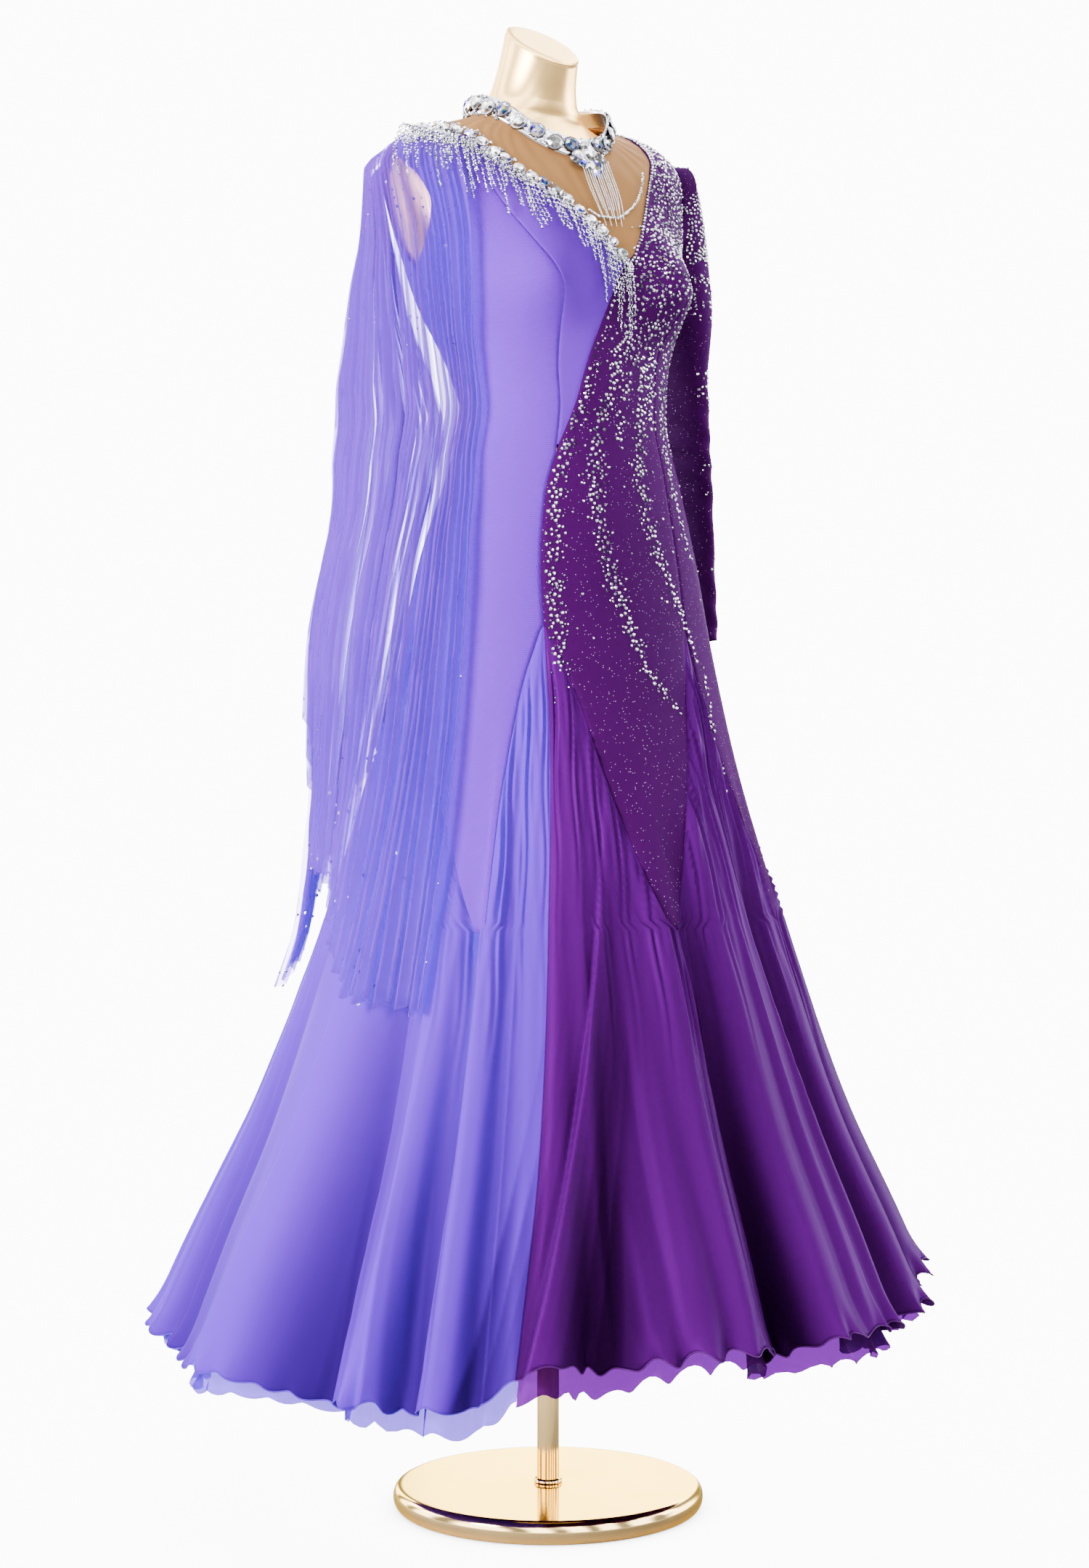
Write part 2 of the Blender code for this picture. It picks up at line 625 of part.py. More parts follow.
def make_hems(grids):
    for name, order, look in (
        ("hem_lilac", LILAC_HEM, LILAC_SHEER),
        ("hem_purple", PURPLE_HEM, PURPLE_SHEER),
    ):
        outer, inner = hem_rows(grids, order, HEM_BAND, HEM_WAVE, HEM_WAVE_POINTS, HEM_SPLIT)
        shell(name, outer, inner, look)


def make_underskirt(grids):
    """The layer inside the skirt, on the godets' own columns, down to below the hem."""
    for name, order, look in (
        ("underskirt_lilac", LILAC_HEM, LILAC_SHEER),
        ("underskirt_purple", PURPLE_HEM, PURPLE_SHEER),
    ):
        outer, inner = [], []
        rows = (-6, -5, -3, -1)
        for level, i in enumerate(rows + (None,)):
            line = []
            for part in order:
                row = grids[part][-1 if i is None else i]
                line += row if part == order[-1] else row[:-1]
            points, backs = [], []
            share = level / len(rows)
            depth = mix(UNDER_SEAT, UNDER_IN, min(share * 1.6, 1.0))
            for n, (turn, height) in enumerate(line):
                low = height - (HEM_BAND + UNDER_DROP if i is None else 0.0)
                wavy = UNDER_WAVE * (1 if n % 2 else -1) * (i is None)
                out = CLOTH_OUT - WALL - depth + wavy
                points.append(at(turn, low, out))
                backs.append(at(turn, low, out - WALL))
            outer.append(points)
            inner.append(backs)
        shell(name, outer, inner, look)


# Yoke, from the choker's line to the neckline
def choker_height(turn, out=0.0):
    """Height where the body reaches the choker's oval, at a turn around the body."""
    low, high = 1.45, 1.66
    for _ in range(40):
        height = (low + high) / 2
        x, y, _z = body(turn, height)
        across = x / (CHOKER_RADIUS_X + out)
        deep = (y - CHOKER_CENTRE_Y) / (CHOKER_RADIUS_Y + out)
        low, high = (low, height) if across**2 + deep**2 < 1 else (height, high)
    return height


def choker_turn(angle):
    """The turn around the body below a point of the choker's oval."""
    low, high = angle - 60.0, angle + 60.0
    for _ in range(30):
        turn = (low + high) / 2
        x, y, _z = body(turn, choker_height(turn, CHOKER_OUT))
        past = around(math.degrees(math.atan2(x, CHOKER_CENTRE_Y - y)) - angle) > 0
        low, high = (low, turn) if past else (turn, high)
    return turn


def make_yoke(grids):
    parts = {
        "yoke_front": ("lilac_side", "lilac_front", "purple_front", "purple_side"),
        "yoke_back": ("purple_back", "lilac_back"),
    }
    rows = (0.01, 0.12, 0.35, 0.65, 1.0)
    for name, panels in parts.items():
        line = [point for panel in panels for point in grids[panel][0]]
        grid = []
        for share in rows:
            row = []
            for n, (turn, height) in enumerate(line):
                aside = (n == 0) - (n == len(line) - 1)
                low, high = height + (2 + abs(aside)) * SEAM_GAP, choker_height(turn)
                far, near = inset(turn, low, YOKE_ASIDE * aside), inset(turn, high, YOKE_ASIDE * aside)
                row.append((mix(far, near, share), mix(low, high, share)))
            grid.append(row)
        on_body(name, grid, NUDE, YOKE_OUT, YOKE_WALL)


def make_choker():
    columns = 2 * CHOKER_STONES
    outer, inner = [[], [], []], [[], [], []]
    for k in range(columns):
        turn = 360.0 * k / columns
        below = choker_turn(turn)
        height = body(below, choker_height(below, CHOKER_OUT))[2]
        c = math.cos(math.radians(turn))
        s = math.sin(math.radians(turn))
        big = CHOKER_DROP if abs(around(turn)) < 20 else 1.0
        for level, up in enumerate((-0.5, 0.0, 0.5)):
            rise = STONE_RISE * big if (level == 1 and k % 2) else 0.0006
            lean = 0.30 * up * CHOKER_HEIGHT
            base_x = (CHOKER_RADIUS_X + CHOKER_OUT - lean) * s
            base_y = CHOKER_CENTRE_Y - (CHOKER_RADIUS_Y + CHOKER_OUT - lean) * c
            z = height + CHOKER_UP + up * CHOKER_HEIGHT * (big if up < 0 else 1.0)
            inner[level].append(np.array([base_x, base_y, z]))
            outer[level].append(np.array([base_x + (0.002 + rise) * s, base_y - (0.002 + rise) * c, z]))
    shell("choker", outer, inner, SILVER, ring=True)


def strands(name, strip_points, outs, downs, lengths, look, thick, segments=2):
    """A strip whose every other bottom face runs down into a strand of four sides."""
    columns = len(strip_points)
    height = FRINGE["strip"]
    verts, faces = [], []
    for p, out in zip(strip_points, outs):
        for z in (0.0, -height):
            for depth in (0.0, thick):
                verts.append(p + np.array([0, 0, z]) + out * depth)

    def v(j, z, depth):
        return 4 * j + 2 * z + depth

    for j in range(columns - 1):
        faces.append((v(j, 0, 1), v(j, 1, 1), v(j + 1, 1, 1), v(j + 1, 0, 1)))
        faces.append((v(j, 0, 0), v(j + 1, 0, 0), v(j + 1, 1, 0), v(j, 1, 0)))
        faces.append((v(j, 0, 0), v(j, 0, 1), v(j + 1, 0, 1), v(j + 1, 0, 0)))
        if j % 2:
            faces.append((v(j, 1, 0), v(j + 1, 1, 0), v(j + 1, 1, 1), v(j, 1, 1)))
            continue
        ring = [v(j, 1, 0), v(j + 1, 1, 0), v(j + 1, 1, 1), v(j, 1, 1)]
        length = lengths[j // 2]
        for k in range(1, segments + 1):
            new = []
            for corner, old in enumerate(ring):
                column = j + (corner in (1, 2))
                depth = thick * (corner in (2, 3))
                verts.append(downs(column, j, length * k / segments, depth))
                new.append(len(verts) - 1)
            for corner in range(4):
                n = (corner + 1) % 4
                faces.append((ring[corner], new[corner], new[n], ring[n]))
            ring = new
        faces.append(tuple(ring))
    faces.append((v(0, 0, 0), v(0, 1, 0), v(0, 1, 1), v(0, 0, 1)))
    n = columns - 1
    faces.append((v(n, 0, 0), v(n, 0, 1), v(n, 1, 1), v(n, 1, 0)))
    return add_object(name, verts, faces, look)


def make_fringe():
    length_at, off_at = curve(FRINGE_LENGTH), curve(FRINGE_OFF)
    columns = 2 * FRINGE_STRANDS
    turns = [mix(FRINGE["from"], FRINGE["to"], j / (columns - 1)) for j in range(columns)]
    heights = [top_at(turn) - FRINGE["below"] for turn in turns]
    points = [at(turn, height, off_at(turn)) for turn, height in zip(turns, heights)]
    outs = [normal(turn, height) for turn, height in zip(turns, heights)]
    lengths = [length_at(turns[2 * k]) * (0.86 + 0.14 * math.sin(k * 2.4)) for k in range(FRINGE_STRANDS)]

    def downs(column, first, length, depth):
        height = heights[column] - FRINGE["strip"] - length
        middle = (turns[first] + turns[first + 1]) / 2
        centre = at(middle, height, off_at(middle) + FRINGE["hang"] + depth)
        side = at(middle + 1, height, 0.0) - at(middle - 1, height, 0.0)
        side /= np.linalg.norm(side)
        return centre + side * (FRINGE["half"] if column > first else -FRINGE["half"])

    strands("neckline_fringe", points, outs, downs, lengths, SILVER, FRINGE["thick"])


def make_band(grids):
    """The stone band over the lilac neckline, on the panels' own columns."""
    line = [p for panel in ("lilac_side", "lilac_front") for p in grids[panel][0]]
    line = [p for p in line if p[0] > -88]
    fine = []
    for a, b in zip(line[:-1], line[1:]):
        if b[0] - a[0] < 0.5:
            continue
        fine += [(a, b, k / 4) for k in range(4)]
    fine.append((line[-2], line[-1], 1.0))
    outer, inner = [], []
    for level, up in enumerate((0.5, 0.0, -0.5)):
        points, backs = [], []
        for n, (a, b, t) in enumerate(fine):
            ends = [at(p[0], p[1] + up * BAND_WIDTH, CLOTH_OUT + 0.0009) for p in (a, b)]
            base = mix(ends[0], ends[1], t)
            out = normal(mix(a[0], b[0], t), mix(a[1], b[1], t))
            rise = STONE_RISE if (level == 1 and n % 2) else 0.0
            backs.append(base)
            points.append(base + out * (BAND_WALL + rise))
        outer.append(points)
        inner.append(backs)
    shell("neckline_band", outer, inner, SILVER)


def make_chains():
    columns = 2 * CHAIN_STRANDS
    spread = CHAINS["spread"]
    turns = [CHAINS["turn"] + spread * (2 * j / (columns - 1) - 1) for j in range(columns)]
    drop = choker_height(0.0, CHOKER_OUT) + CHOKER_UP - CHOKER_DROP * CHOKER_HEIGHT / 2
    height = drop - CHAINS["below"]
    out = at(CHAINS["turn"], height, 1.0) - at(CHAINS["turn"], height, 0.0)
    out[2] = 0
    out /= np.linalg.norm(out)
    across = np.array([-out[1], out[0], 0.0])
    middle = at(CHAINS["turn"], height, CHAINS["off"])
    points = [middle + across * (turn - CHAINS["turn"]) / spread * CHAINS["half_strip"] for turn in turns]
    bow = [math.sin(math.pi * k / (CHAIN_STRANDS - 1)) for k in range(CHAIN_STRANDS)]
    lengths = [CHAINS["length"] * (0.80 + 0.20 * share) for share in bow]

    def downs(column, first, length, depth):
        height_now = height - FRINGE["strip"] - length
        share = (turns[first] - CHAINS["turn"]) / spread
        turn = CHAINS["turn"] + share * (spread - CHAINS["gather"] * length / CHAINS["length"])
        centre = at(turn, height_now, CHAINS["off"] + depth)
        return centre + across * (CHAINS["half"] if column > first else -CHAINS["half"])

    strands("choker_chains", points, [out] * columns, downs, lengths, SILVER, CHAINS["thick"])


def make_swag():
    data = bpy.data.curves.new("neck_swag", "CURVE")
    data.dimensions = "3D"
    data.bevel_depth = SWAG_RADIUS
    data.bevel_resolution = 1
    data.use_fill_caps = True
    path = data.splines.new("POLY")
    path.points.add(len(SWAG_ROUTE) - 1)
    for point, (turn, height) in zip(path.points, SWAG_ROUTE):
        point.co = (*at(turn, height, SWAG_OUT), 1.0)
    made = bpy.data.objects.new("neck_swag", data)
    data.materials.append(material("neck_swag", *SILVER))
    bpy.context.scene.collection.objects.link(made)


# Sleeves
def armhole_ring(grids, out):
    """Points just inside the edge of the purple armhole, from the shoulder round by the back."""
    front = [row[-1] for row in grids["purple_side"]]
    back = [row[0] for row in grids["purple_back"]]
    first = next(i for i, point in enumerate(front) if point[1] < ARMHOLE[-1][0])
    last = next(i for i, point in enumerate(front) if point[1] < ARMHOLE[0][0])

    def side(line):
        points = []
        for i in range(first, last):
            points.append(at(*line[i], out))
            if first < i < last - 1:
                points.append(mix(at(*line[i], out), at(*line[i + 1], out), 0.5))
        return points

    ends = [mix(at(*front[i], out), at(*back[i], out), 0.5) for i in (first - 1, last)]
    ring = [ends[0]] + side(back) + [ends[1]] + side(front)[::-1]
    middle = sum(ring) / len(ring)
    aside = np.array([SLEEVE_ASIDE, 0.0, 0.0])
    return [point + (middle - point) * SLEEVE_IN / np.linalg.norm(middle - point) + aside for point in ring]


def make_sleeve(grids):
    outer, inner = [], []
    rows = SLEEVE[1:]
    centres = {
        name: curve([(-row[0], row[k]) for row in rows]) for k, name in enumerate(SLEEVE[0]) if k
    }
    heights = [row[0] for row in rows]
    outer.append(armhole_ring(grids, CLOTH_OUT))
    inner.append(armhole_ring(grids, CLOTH_OUT - SLEEVE_WALL))
    fine = []
    for a, b in zip(heights[:-1], heights[1:]):
        fine += [a] if a > 1.38 else [a, (a + b) / 2]
    fine.append(heights[-1])
    for n, height in enumerate(fine):
        tilt = math.radians(centres["tilt"](-height))
        points, backs = [], []
        sides = len(outer[0])
        for k in range(sides):
            angle = 2 * math.pi * k / sides
            rib = RUCHE * (1 if n % 2 else -1) * max(math.cos(angle), 0) * (height < 1.36)
            for wall, line in ((0.0, points), (SLEEVE_WALL, backs)):
                across = (centres["half_width"](-height) - wall + (rib if wall == 0 else 0)) * math.cos(angle)
                deep = (centres["half_depth"](-height) - wall) * math.sin(angle)
                line.append(
                    np.array(
                        [
                            centres["x"](-height) + across * math.cos(tilt),
                            centres["y"](-height) + deep,
                            height + across * math.sin(tilt),
                        ]
                    )
                )
        outer.append(points)
        inner.append(backs)
    shell("sleeve_purple", outer, inner, PURPLE, ring=True)


def make_floats():
    edge_turn, back_turn = curve(FLOAT_EDGE), curve(FLOAT_BACK_TURN)
    off = {
        "front": (curve(FLOAT_OFF_FRONT), curve(FLOAT_OFF_SIDE)),
        "back": (curve(FLOAT_OFF_SIDE), curve(FLOAT_OFF_BACK)),
    }
    hems = {"front": curve(FLOAT_HEM_FRONT), "back": curve(FLOAT_HEM_BACK)}
    for part in ("front", "back"):
        columns = 2 * FLOAT_PLEATS[part]
        outer, inner = [], []
        for share in FLOAT_ROWS:
            points, backs = [], []
            for j in range(columns + 1):
                u = j / columns
                height = mix(FLOAT_TOP, hems[part](u), share)
                if part == "front":
                    turn = mix(edge_turn(height), FLOAT_SIDE_TURN, u)
                else:
                    turn = mix(FLOAT_SIDE_TURN - FLOAT_PARTING, back_turn(height), u)
                smooth = u * u * (3 - 2 * u)
                stand = mix(off[part][0](height), off[part][1](height), smooth if part == "front" else u)
                fold = PLEAT * (0.35 + 0.65 * min(share * 3, 1.0)) * (1 if j % 2 else -1)
                out = CLOTH_OUT + FLOAT_WALL + (stand + fold if share else FLOAT_SEAT)
                points.append(at(turn, height, out))
                backs.append(at(turn, height, out - FLOAT_WALL))
            outer.append(points)
            inner.append(backs)
        shell("sleeve_lilac_" + part, outer, inner, LILAC_SHEER)


make_stand()
make_form()
bodice_rows = make_bodice()
godet_rows = make_godets()
make_hems(godet_rows)
make_underskirt(godet_rows)
make_yoke(bodice_rows)
make_choker()
make_band(bodice_rows)
make_fringe()
make_chains()
make_swag()
make_sleeve(bodice_rows)
make_floats()
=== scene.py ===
# Ballroom dance dress on its dress form: the cloth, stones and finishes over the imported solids.
# Metres, +Z up, the wearer faces -Y and their left is +X. A turn is in degrees from the front to the wearer's left.
import math
import bpy
import bmesh
import numpy as np
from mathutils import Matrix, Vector


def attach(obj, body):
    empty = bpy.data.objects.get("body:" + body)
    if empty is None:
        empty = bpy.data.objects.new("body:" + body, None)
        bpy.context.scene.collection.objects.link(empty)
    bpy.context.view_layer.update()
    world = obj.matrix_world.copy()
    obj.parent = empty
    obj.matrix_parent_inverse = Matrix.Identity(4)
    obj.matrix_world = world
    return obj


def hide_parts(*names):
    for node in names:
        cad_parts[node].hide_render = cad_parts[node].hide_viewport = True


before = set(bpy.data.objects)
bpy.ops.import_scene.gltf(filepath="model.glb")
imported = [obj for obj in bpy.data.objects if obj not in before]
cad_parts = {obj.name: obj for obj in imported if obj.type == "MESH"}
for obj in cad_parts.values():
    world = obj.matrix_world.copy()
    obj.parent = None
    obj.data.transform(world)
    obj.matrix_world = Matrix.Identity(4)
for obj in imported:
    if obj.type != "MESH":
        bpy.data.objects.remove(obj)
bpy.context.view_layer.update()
print("solids loaded:", len(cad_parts))


# the dress's form, as the solids have it

def smoothCurve(pairs):  # passes through every pair and never overshoots
    x, y = (np.array(column, float) for column in zip(*pairs))
    rate = np.diff(y) / np.diff(x)
    inner = [0.0 if a * b <= 0 else 2 * a * b / (a + b) for a, b in zip(rate[:-1], rate[1:])]
    slope = np.array([rate[0], *inner, rate[-1]])

    def value(at):
        at = np.clip(at, x[0], x[-1])
        i = np.clip(np.searchsorted(x, at) - 1, 0, len(x) - 2)
        step = x[i + 1] - x[i]
        t = (at - x[i]) / step
        return ((1 + 2 * t) * (1 - t) ** 2 * y[i] + t * (1 - t) ** 2 * step * slope[i]
                + t * t * (3 - 2 * t) * y[i + 1] + t * t * (t - 1) * step * slope[i + 1])

    return value


bodySections = (  # height, half breadth, front depth, back depth, centre's y
    (0.150, 0.436, 0.436, 0.436, 0.000), (0.200, 0.422, 0.422, 0.422, 0.000), (0.320, 0.376, 0.376, 0.376, 0.000),
    (0.450, 0.321, 0.320, 0.321, -0.001), (0.580, 0.278, 0.274, 0.276, -0.004), (0.710, 0.241, 0.231, 0.238, -0.008),
    (0.840, 0.208, 0.191, 0.200, -0.012), (0.970, 0.184, 0.156, 0.164, -0.017), (1.080, 0.166, 0.130, 0.137, -0.023),
    (1.180, 0.138, 0.106, 0.110, -0.031), (1.240, 0.122, 0.097, 0.100, -0.032), (1.290, 0.130, 0.103, 0.106, -0.022),
    (1.380, 0.162, 0.120, 0.120, 0.003), (1.430, 0.176, 0.118, 0.121, 0.012), (1.470, 0.188, 0.111, 0.117, 0.019),
    (1.520, 0.198, 0.094, 0.103, 0.027), (1.540, 0.190, 0.084, 0.093, 0.030), (1.555, 0.172, 0.075, 0.084, 0.032),
    (1.568, 0.142, 0.068, 0.077, 0.034), (1.578, 0.110, 0.062, 0.070, 0.035), (1.588, 0.082, 0.056, 0.063, 0.035),
    (1.600, 0.066, 0.052, 0.057, 0.034), (1.620, 0.055, 0.050, 0.051, 0.029), (1.650, 0.048, 0.048, 0.048, 0.020),
    (1.690, 0.044, 0.046, 0.046, 0.008),
)
halfBreadth, frontDepth, backDepth, centreY = (
    smoothCurve([(row[0], row[k]) for row in bodySections]) for k in (1, 2, 3, 4))
shoulderLift = smoothCurve((  # the padded shoulder above the long sleeve
    (1.30, 0.0), (1.43, 0.002), (1.47, 0.008), (1.52, 0.020), (1.55, 0.024), (1.565, 0.0215), (1.578, 0.013),
    (1.588, 0.005), (1.60, 0.0)))
bust = {"height": 1.385, "side": 0.088, "rise": 0.046, "spread": 0.050, "up": 0.060, "down": 0.045, "out": 0.25}
level = {"apex": 1.000, "point": 0.670, "waist": 1.20, "clothOut": 0.0016, "sleeveTop": 1.543}

colourSeam = smoothCurve((
    (0.15, -40.5), (0.30, -38.5), (0.45, -36.5), (0.67, -35.0), (0.88, -34.0), (1.00, -35.4), (1.08, -36.6),
    (1.14, -36.6), (1.20, -31.6), (1.215, -29.2), (1.25, -22.6), (1.297, -13.8), (1.343, -5.0), (1.42, 9.2)))
princessSeam = smoothCurve((
    (1.20, -32.7), (1.276, -30.6), (1.334, -26.5), (1.366, -25.4), (1.42, -32.0), (1.55, -44.0)))
purpleSeam = smoothCurve(((1.00, 26.3), (1.10, 28.5), (1.20, 31.0), (1.38, 33.0), (1.55, 46.0)))
sideSeam = smoothCurve(((1.00, 95.0), (1.40, 94.0), (1.54, 90.5), (1.60, 90.0)))
armhole = smoothCurve((
    (1.40, 0.0), (1.425, 12.0), (1.45, 21.0), (1.475, 25.0), (1.50, 22.0), (1.522, 12.0), (1.542, 0.0)))
neckline = smoothCurve((
    (-180, 1.500), (-150, 1.512), (-120, 1.540), (-90, 1.561), (-66, 1.556), (-44, 1.547), (-31, 1.522), (-25, 1.507),
    (-15, 1.484), (-8, 1.464), (0, 1.441), (9.2, 1.415), (14, 1.436), (21, 1.470), (36, 1.534), (60, 1.572),
    (90, 1.585), (120, 1.560), (150, 1.520), (180, 1.500)))
hemline = smoothCurve((
    (-180, 0.262), (-138, 0.222), (-118, 0.205), (-90, 0.203), (-60, 0.198), (-45, 0.200), (-36, 0.226), (-29, 0.240),
    (0, 0.244), (36, 0.240), (50, 0.256), (62, 0.272), (120, 0.272), (180, 0.262)))
panelFoot = {  # the edges that run down to each panel's point: height, turn
    "lilacSideLeft": ((0.67, -53.5), (0.786, -66.0), (0.90, -82.0), (1.00, -95.0)),
    "lilacSideRight": ((0.67, -50.5), (0.80, -49.0), (0.92, -44.0), (1.00, -36.2)),
    "purpleFrontLeft": ((0.67, -4.5), (0.725, -8.8), (0.80, -14.6), (0.92, -24.5), (1.00, -34.6)),
    "purpleFrontRight": ((0.67, -1.0), (0.787, 7.5), (0.883, 16.4), (1.00, 26.0)),
    "purpleSideLeft": ((0.67, 45.0), (0.786, 40.0), (0.90, 31.0), (1.00, 26.6)),
    "purpleSideRight": ((0.67, 49.0), (0.786, 62.0), (0.90, 80.0), (1.00, 94.6)),
    "purpleBackLeft": ((0.67, 136.0), (0.80, 125.0), (0.92, 108.0), (1.00, 95.4)),
    "purpleBackRight": ((0.67, 140.0), (0.80, 150.0), (0.92, 166.0), (1.00, 179.6)),
    "lilacBackLeft": ((0.67, 220.0), (0.80, 210.0), (0.92, 194.0), (1.00, 180.4)),
    "lilacBackRight": ((0.67, 224.0), (0.80, 235.0), (0.92, 251.0), (1.00, 264.6)),
}
panelFoot = {name: smoothCurve(pairs) for name, pairs in panelFoot.items()}
skirtFolds = (  # turn at the top and the hem, half width, height at the hem, height where it starts
    (-85, -87, 14.0, 0.030, 0.90), (-66, -71, 5.2, -0.040, 0.84), (-58, -60, 3.6, 0.012, 0.80),
    (-52, -54.5, 3.2, -0.028, 0.78), (-46, -49, 4.0, 0.012, 0.92), (-41, -44, 3.2, -0.022, 0.95),
    (-28, -35, 5.0, 0.022, 0.96), (-13, -27, 4.6, -0.030, 0.86), (-6, -14, 7.0, 0.022, 0.90),
    (2.2, 3.0, 3.0, -0.046, 0.80), (13, 13, 7.0, 0.022, 0.90), (30, 32, 3.4, -0.034, 0.92),
    (38, 40, 3.6, 0.012, 0.98), (45, 46, 2.6, -0.020, 0.86), (54, 56, 8.0, 0.030, 1.10),
    (66, 69, 4.4, -0.032, 0.76), (81, 82, 6.0, 0.024, 0.86), (90, 93, 3.6, -0.024, 0.84),
    (100, 102, 6.0, 0.026, 0.96), (112, 114, 4.6, -0.034, 0.80), (125, 126, 6.5, 0.022, 0.80),
    (138, 138, 5.0, -0.040, 0.68), (152, 153, 8.0, 0.026, 0.80), (166, 167, 4.6, -0.032, 0.82),
    (180, 181, 8.0, 0.028, 0.98), (195, 196, 5.0, -0.034, 0.80), (209, 210, 8.0, 0.022, 0.80),
    (222, 223, 5.0, -0.040, 0.68), (237, 238, 9.0, 0.028, 0.80), (250, 253, 5.0, -0.028, 0.80),
)
creases = (  # the finer folds: turn at the top and the hem, half width, height, start
    (-101, -104, 2.6, 0.005, 0.72), (-94, -95, 2.0, -0.004, 0.52), (-78, -80, 2.2, -0.004, 0.60),
    (-72, -73, 1.8, 0.004, 0.78), (-60, -62.5, 1.2, 0.006, 0.78), (-55, -57, 1.1, -0.006, 0.74),
    (-50, -51.5, 1.0, 0.007, 0.76), (-44, -46.5, 1.1, -0.006, 0.86), (-38.5, -40.5, 1.2, 0.006, 0.92),
    (-31, -29.5, 1.6, -0.004, 0.92), (-28, -26, 1.0, 0.004, 0.97), (-24, -20, 1.1, 0.003, 0.90),
    (-21, -16, 0.9, -0.003, 0.86), (-16, -8, 1.6, -0.004, 0.80), (-9, -5.5, 1.2, 0.004, 0.72),
    (10, 9.5, 1.6, 0.004, 0.86), (15, 16, 1.5, -0.004, 0.78), (18, 17, 1.0, 0.004, 0.86),
    (24, 23, 1.0, 0.006, 0.94), (31, 32.5, 1.2, -0.005, 0.92), (44, 45, 2.0, -0.004, 0.86),
    (58, 61, 2.0, -0.004, 0.84), (73, 75, 1.6, 0.005, 0.80), (86, 87, 1.6, -0.004, 0.84),
    (96, 98, 1.4, 0.004, 0.86), (106, 107.5, 1.7, -0.005, 0.82), (118, 120, 1.6, 0.004, 0.78),
    (132, 132, 1.5, 0.005, 0.72), (144, 145, 1.7, -0.004, 0.76), (158, 160, 1.9, -0.004, 0.78),
    (172, 173.5, 1.6, 0.004, 0.86), (187, 189, 1.7, -0.004, 0.84), (201, 203, 1.8, 0.005, 0.76),
    (216, 216, 1.4, -0.004, 0.70), (229, 230, 1.8, 0.005, 0.74), (243, 246, 1.6, -0.004, 0.76),
)
foldFoot, foldSway = 0.20, 0.75  # the folds have their hem turns at this height, and sway over this much above it
laps = (  # crisp-edged folds: turn at the top and the hem, which side is raised, size, reach, start
    (-84, -92, 1, 0.005, 9.0, 0.80), (-69.5, -66, 1, 0.024, 5.0, 0.86), (-67.0, -60.5, 1, 0.012, 3.0, 0.78),
    (-50.8, -53.2, 1, 0.024, 5.5, 0.90), (-42.4, -44.4, 1, 0.015, 3.0, 0.86), (-14, -39.2, 1, 0.028, 8.0, 0.86),
    (-4.0, 1.4, -1, 0.022, 4.5, 0.82), (-7.5, -2.5, -1, 0.006, 2.5, 0.76), (19, 26.5, -1, 0.022, 6.0, 0.90),
    (15.5, 20.5, -1, 0.006, 3.0, 0.84), (34, 37, 1, 0.014, 4.0, 0.92), (42, 44, -1, 0.014, 4.0, 0.90),
    (60, 63, -1, 0.016, 5.0, 0.86), (76, 78, 1, 0.014, 5.0, 0.84), (97, 99, -1, 0.014, 5.0, 0.84),
    (117, 119, 1, 0.014, 5.0, 0.80), (146, 147, -1, 0.016, 5.0, 0.80), (161, 162, 1, 0.012, 5.0, 0.82),
    (189, 190, -1, 0.016, 6.0, 0.86), (204, 205, 1, 0.012, 5.0, 0.80), (232, 234, -1, 0.016, 6.0, 0.80),
    (246, 249, 1, 0.014, 5.0, 0.80),
)


def around(turn):
    return (turn + 180) % 360 - 180


def bodyPoint(turn, height, share=1.0, pad=1.0):
    turn, height = np.broadcast_arrays(np.asarray(turn, float), np.asarray(height, float))
    s, c = np.sin(np.radians(turn)), np.cos(np.radians(turn))
    x = halfBreadth(height) * s
    y = centreY(height) - np.where(c > 0, frontDepth(height), backDepth(height)) * c
    spread = np.where(height > bust["height"], bust["up"], bust["down"])
    shiftX, shiftY = np.zeros_like(x), np.zeros_like(x)
    for side in (-1, 1):
        away = ((x + shiftX - side * bust["side"]) / bust["spread"]) ** 2 + ((height - bust["height"]) / spread) ** 2
        rise = share * bust["rise"] * np.maximum(c, 0) * np.exp(-away)
        shiftY = shiftY - rise
        shiftX = shiftX + side * bust["out"] * rise
    lift = pad * shoulderLift(height) * np.maximum(s, 0) ** 4
    return np.stack([x + shiftX, y + shiftY, height + lift], axis=-1)


def unit(vectors):
    return vectors / np.linalg.norm(vectors, axis=-1, keepdims=True)


def pathLength(points):  # how far along its path each point lies
    return np.concatenate([[0], np.cumsum(np.linalg.norm(np.diff(points, axis=0), axis=1))])


def bodyNormal(turn, height, pad=1.0):
    along = bodyPoint(turn + 0.5, height, pad=pad) - bodyPoint(turn - 0.5, height, pad=pad)
    up = bodyPoint(turn, height + 0.002, pad=pad) - bodyPoint(turn, height - 0.002, pad=pad)
    return unit(np.cross(along, up))


def levelNormal(turn, height):
    return unit(bodyNormal(turn, height) * np.array([1, 1, 0.0]))


def foldPlace(top, hem, start, height):  # a fold's turn, and its share of the size that it has at the hem
    centre = hem + (top - hem) * np.clip((height - foldFoot) / foldSway, 0, 1)
    return centre, np.maximum((start - height) / (start - foldFoot), 0)


def foldHeight(turn, height, table, ridges=1.0, valleys=1.0):
    total = np.zeros(np.broadcast(turn, height).shape)
    for top, hem, halfWidth, size, start in table:
        centre, share = foldPlace(top, hem, start, height)
        away = around(turn - centre) / halfWidth
        total = total + size * (ridges if size > 0 else valleys) * share**1.15 * np.exp(-0.5 * away * away)
    return total


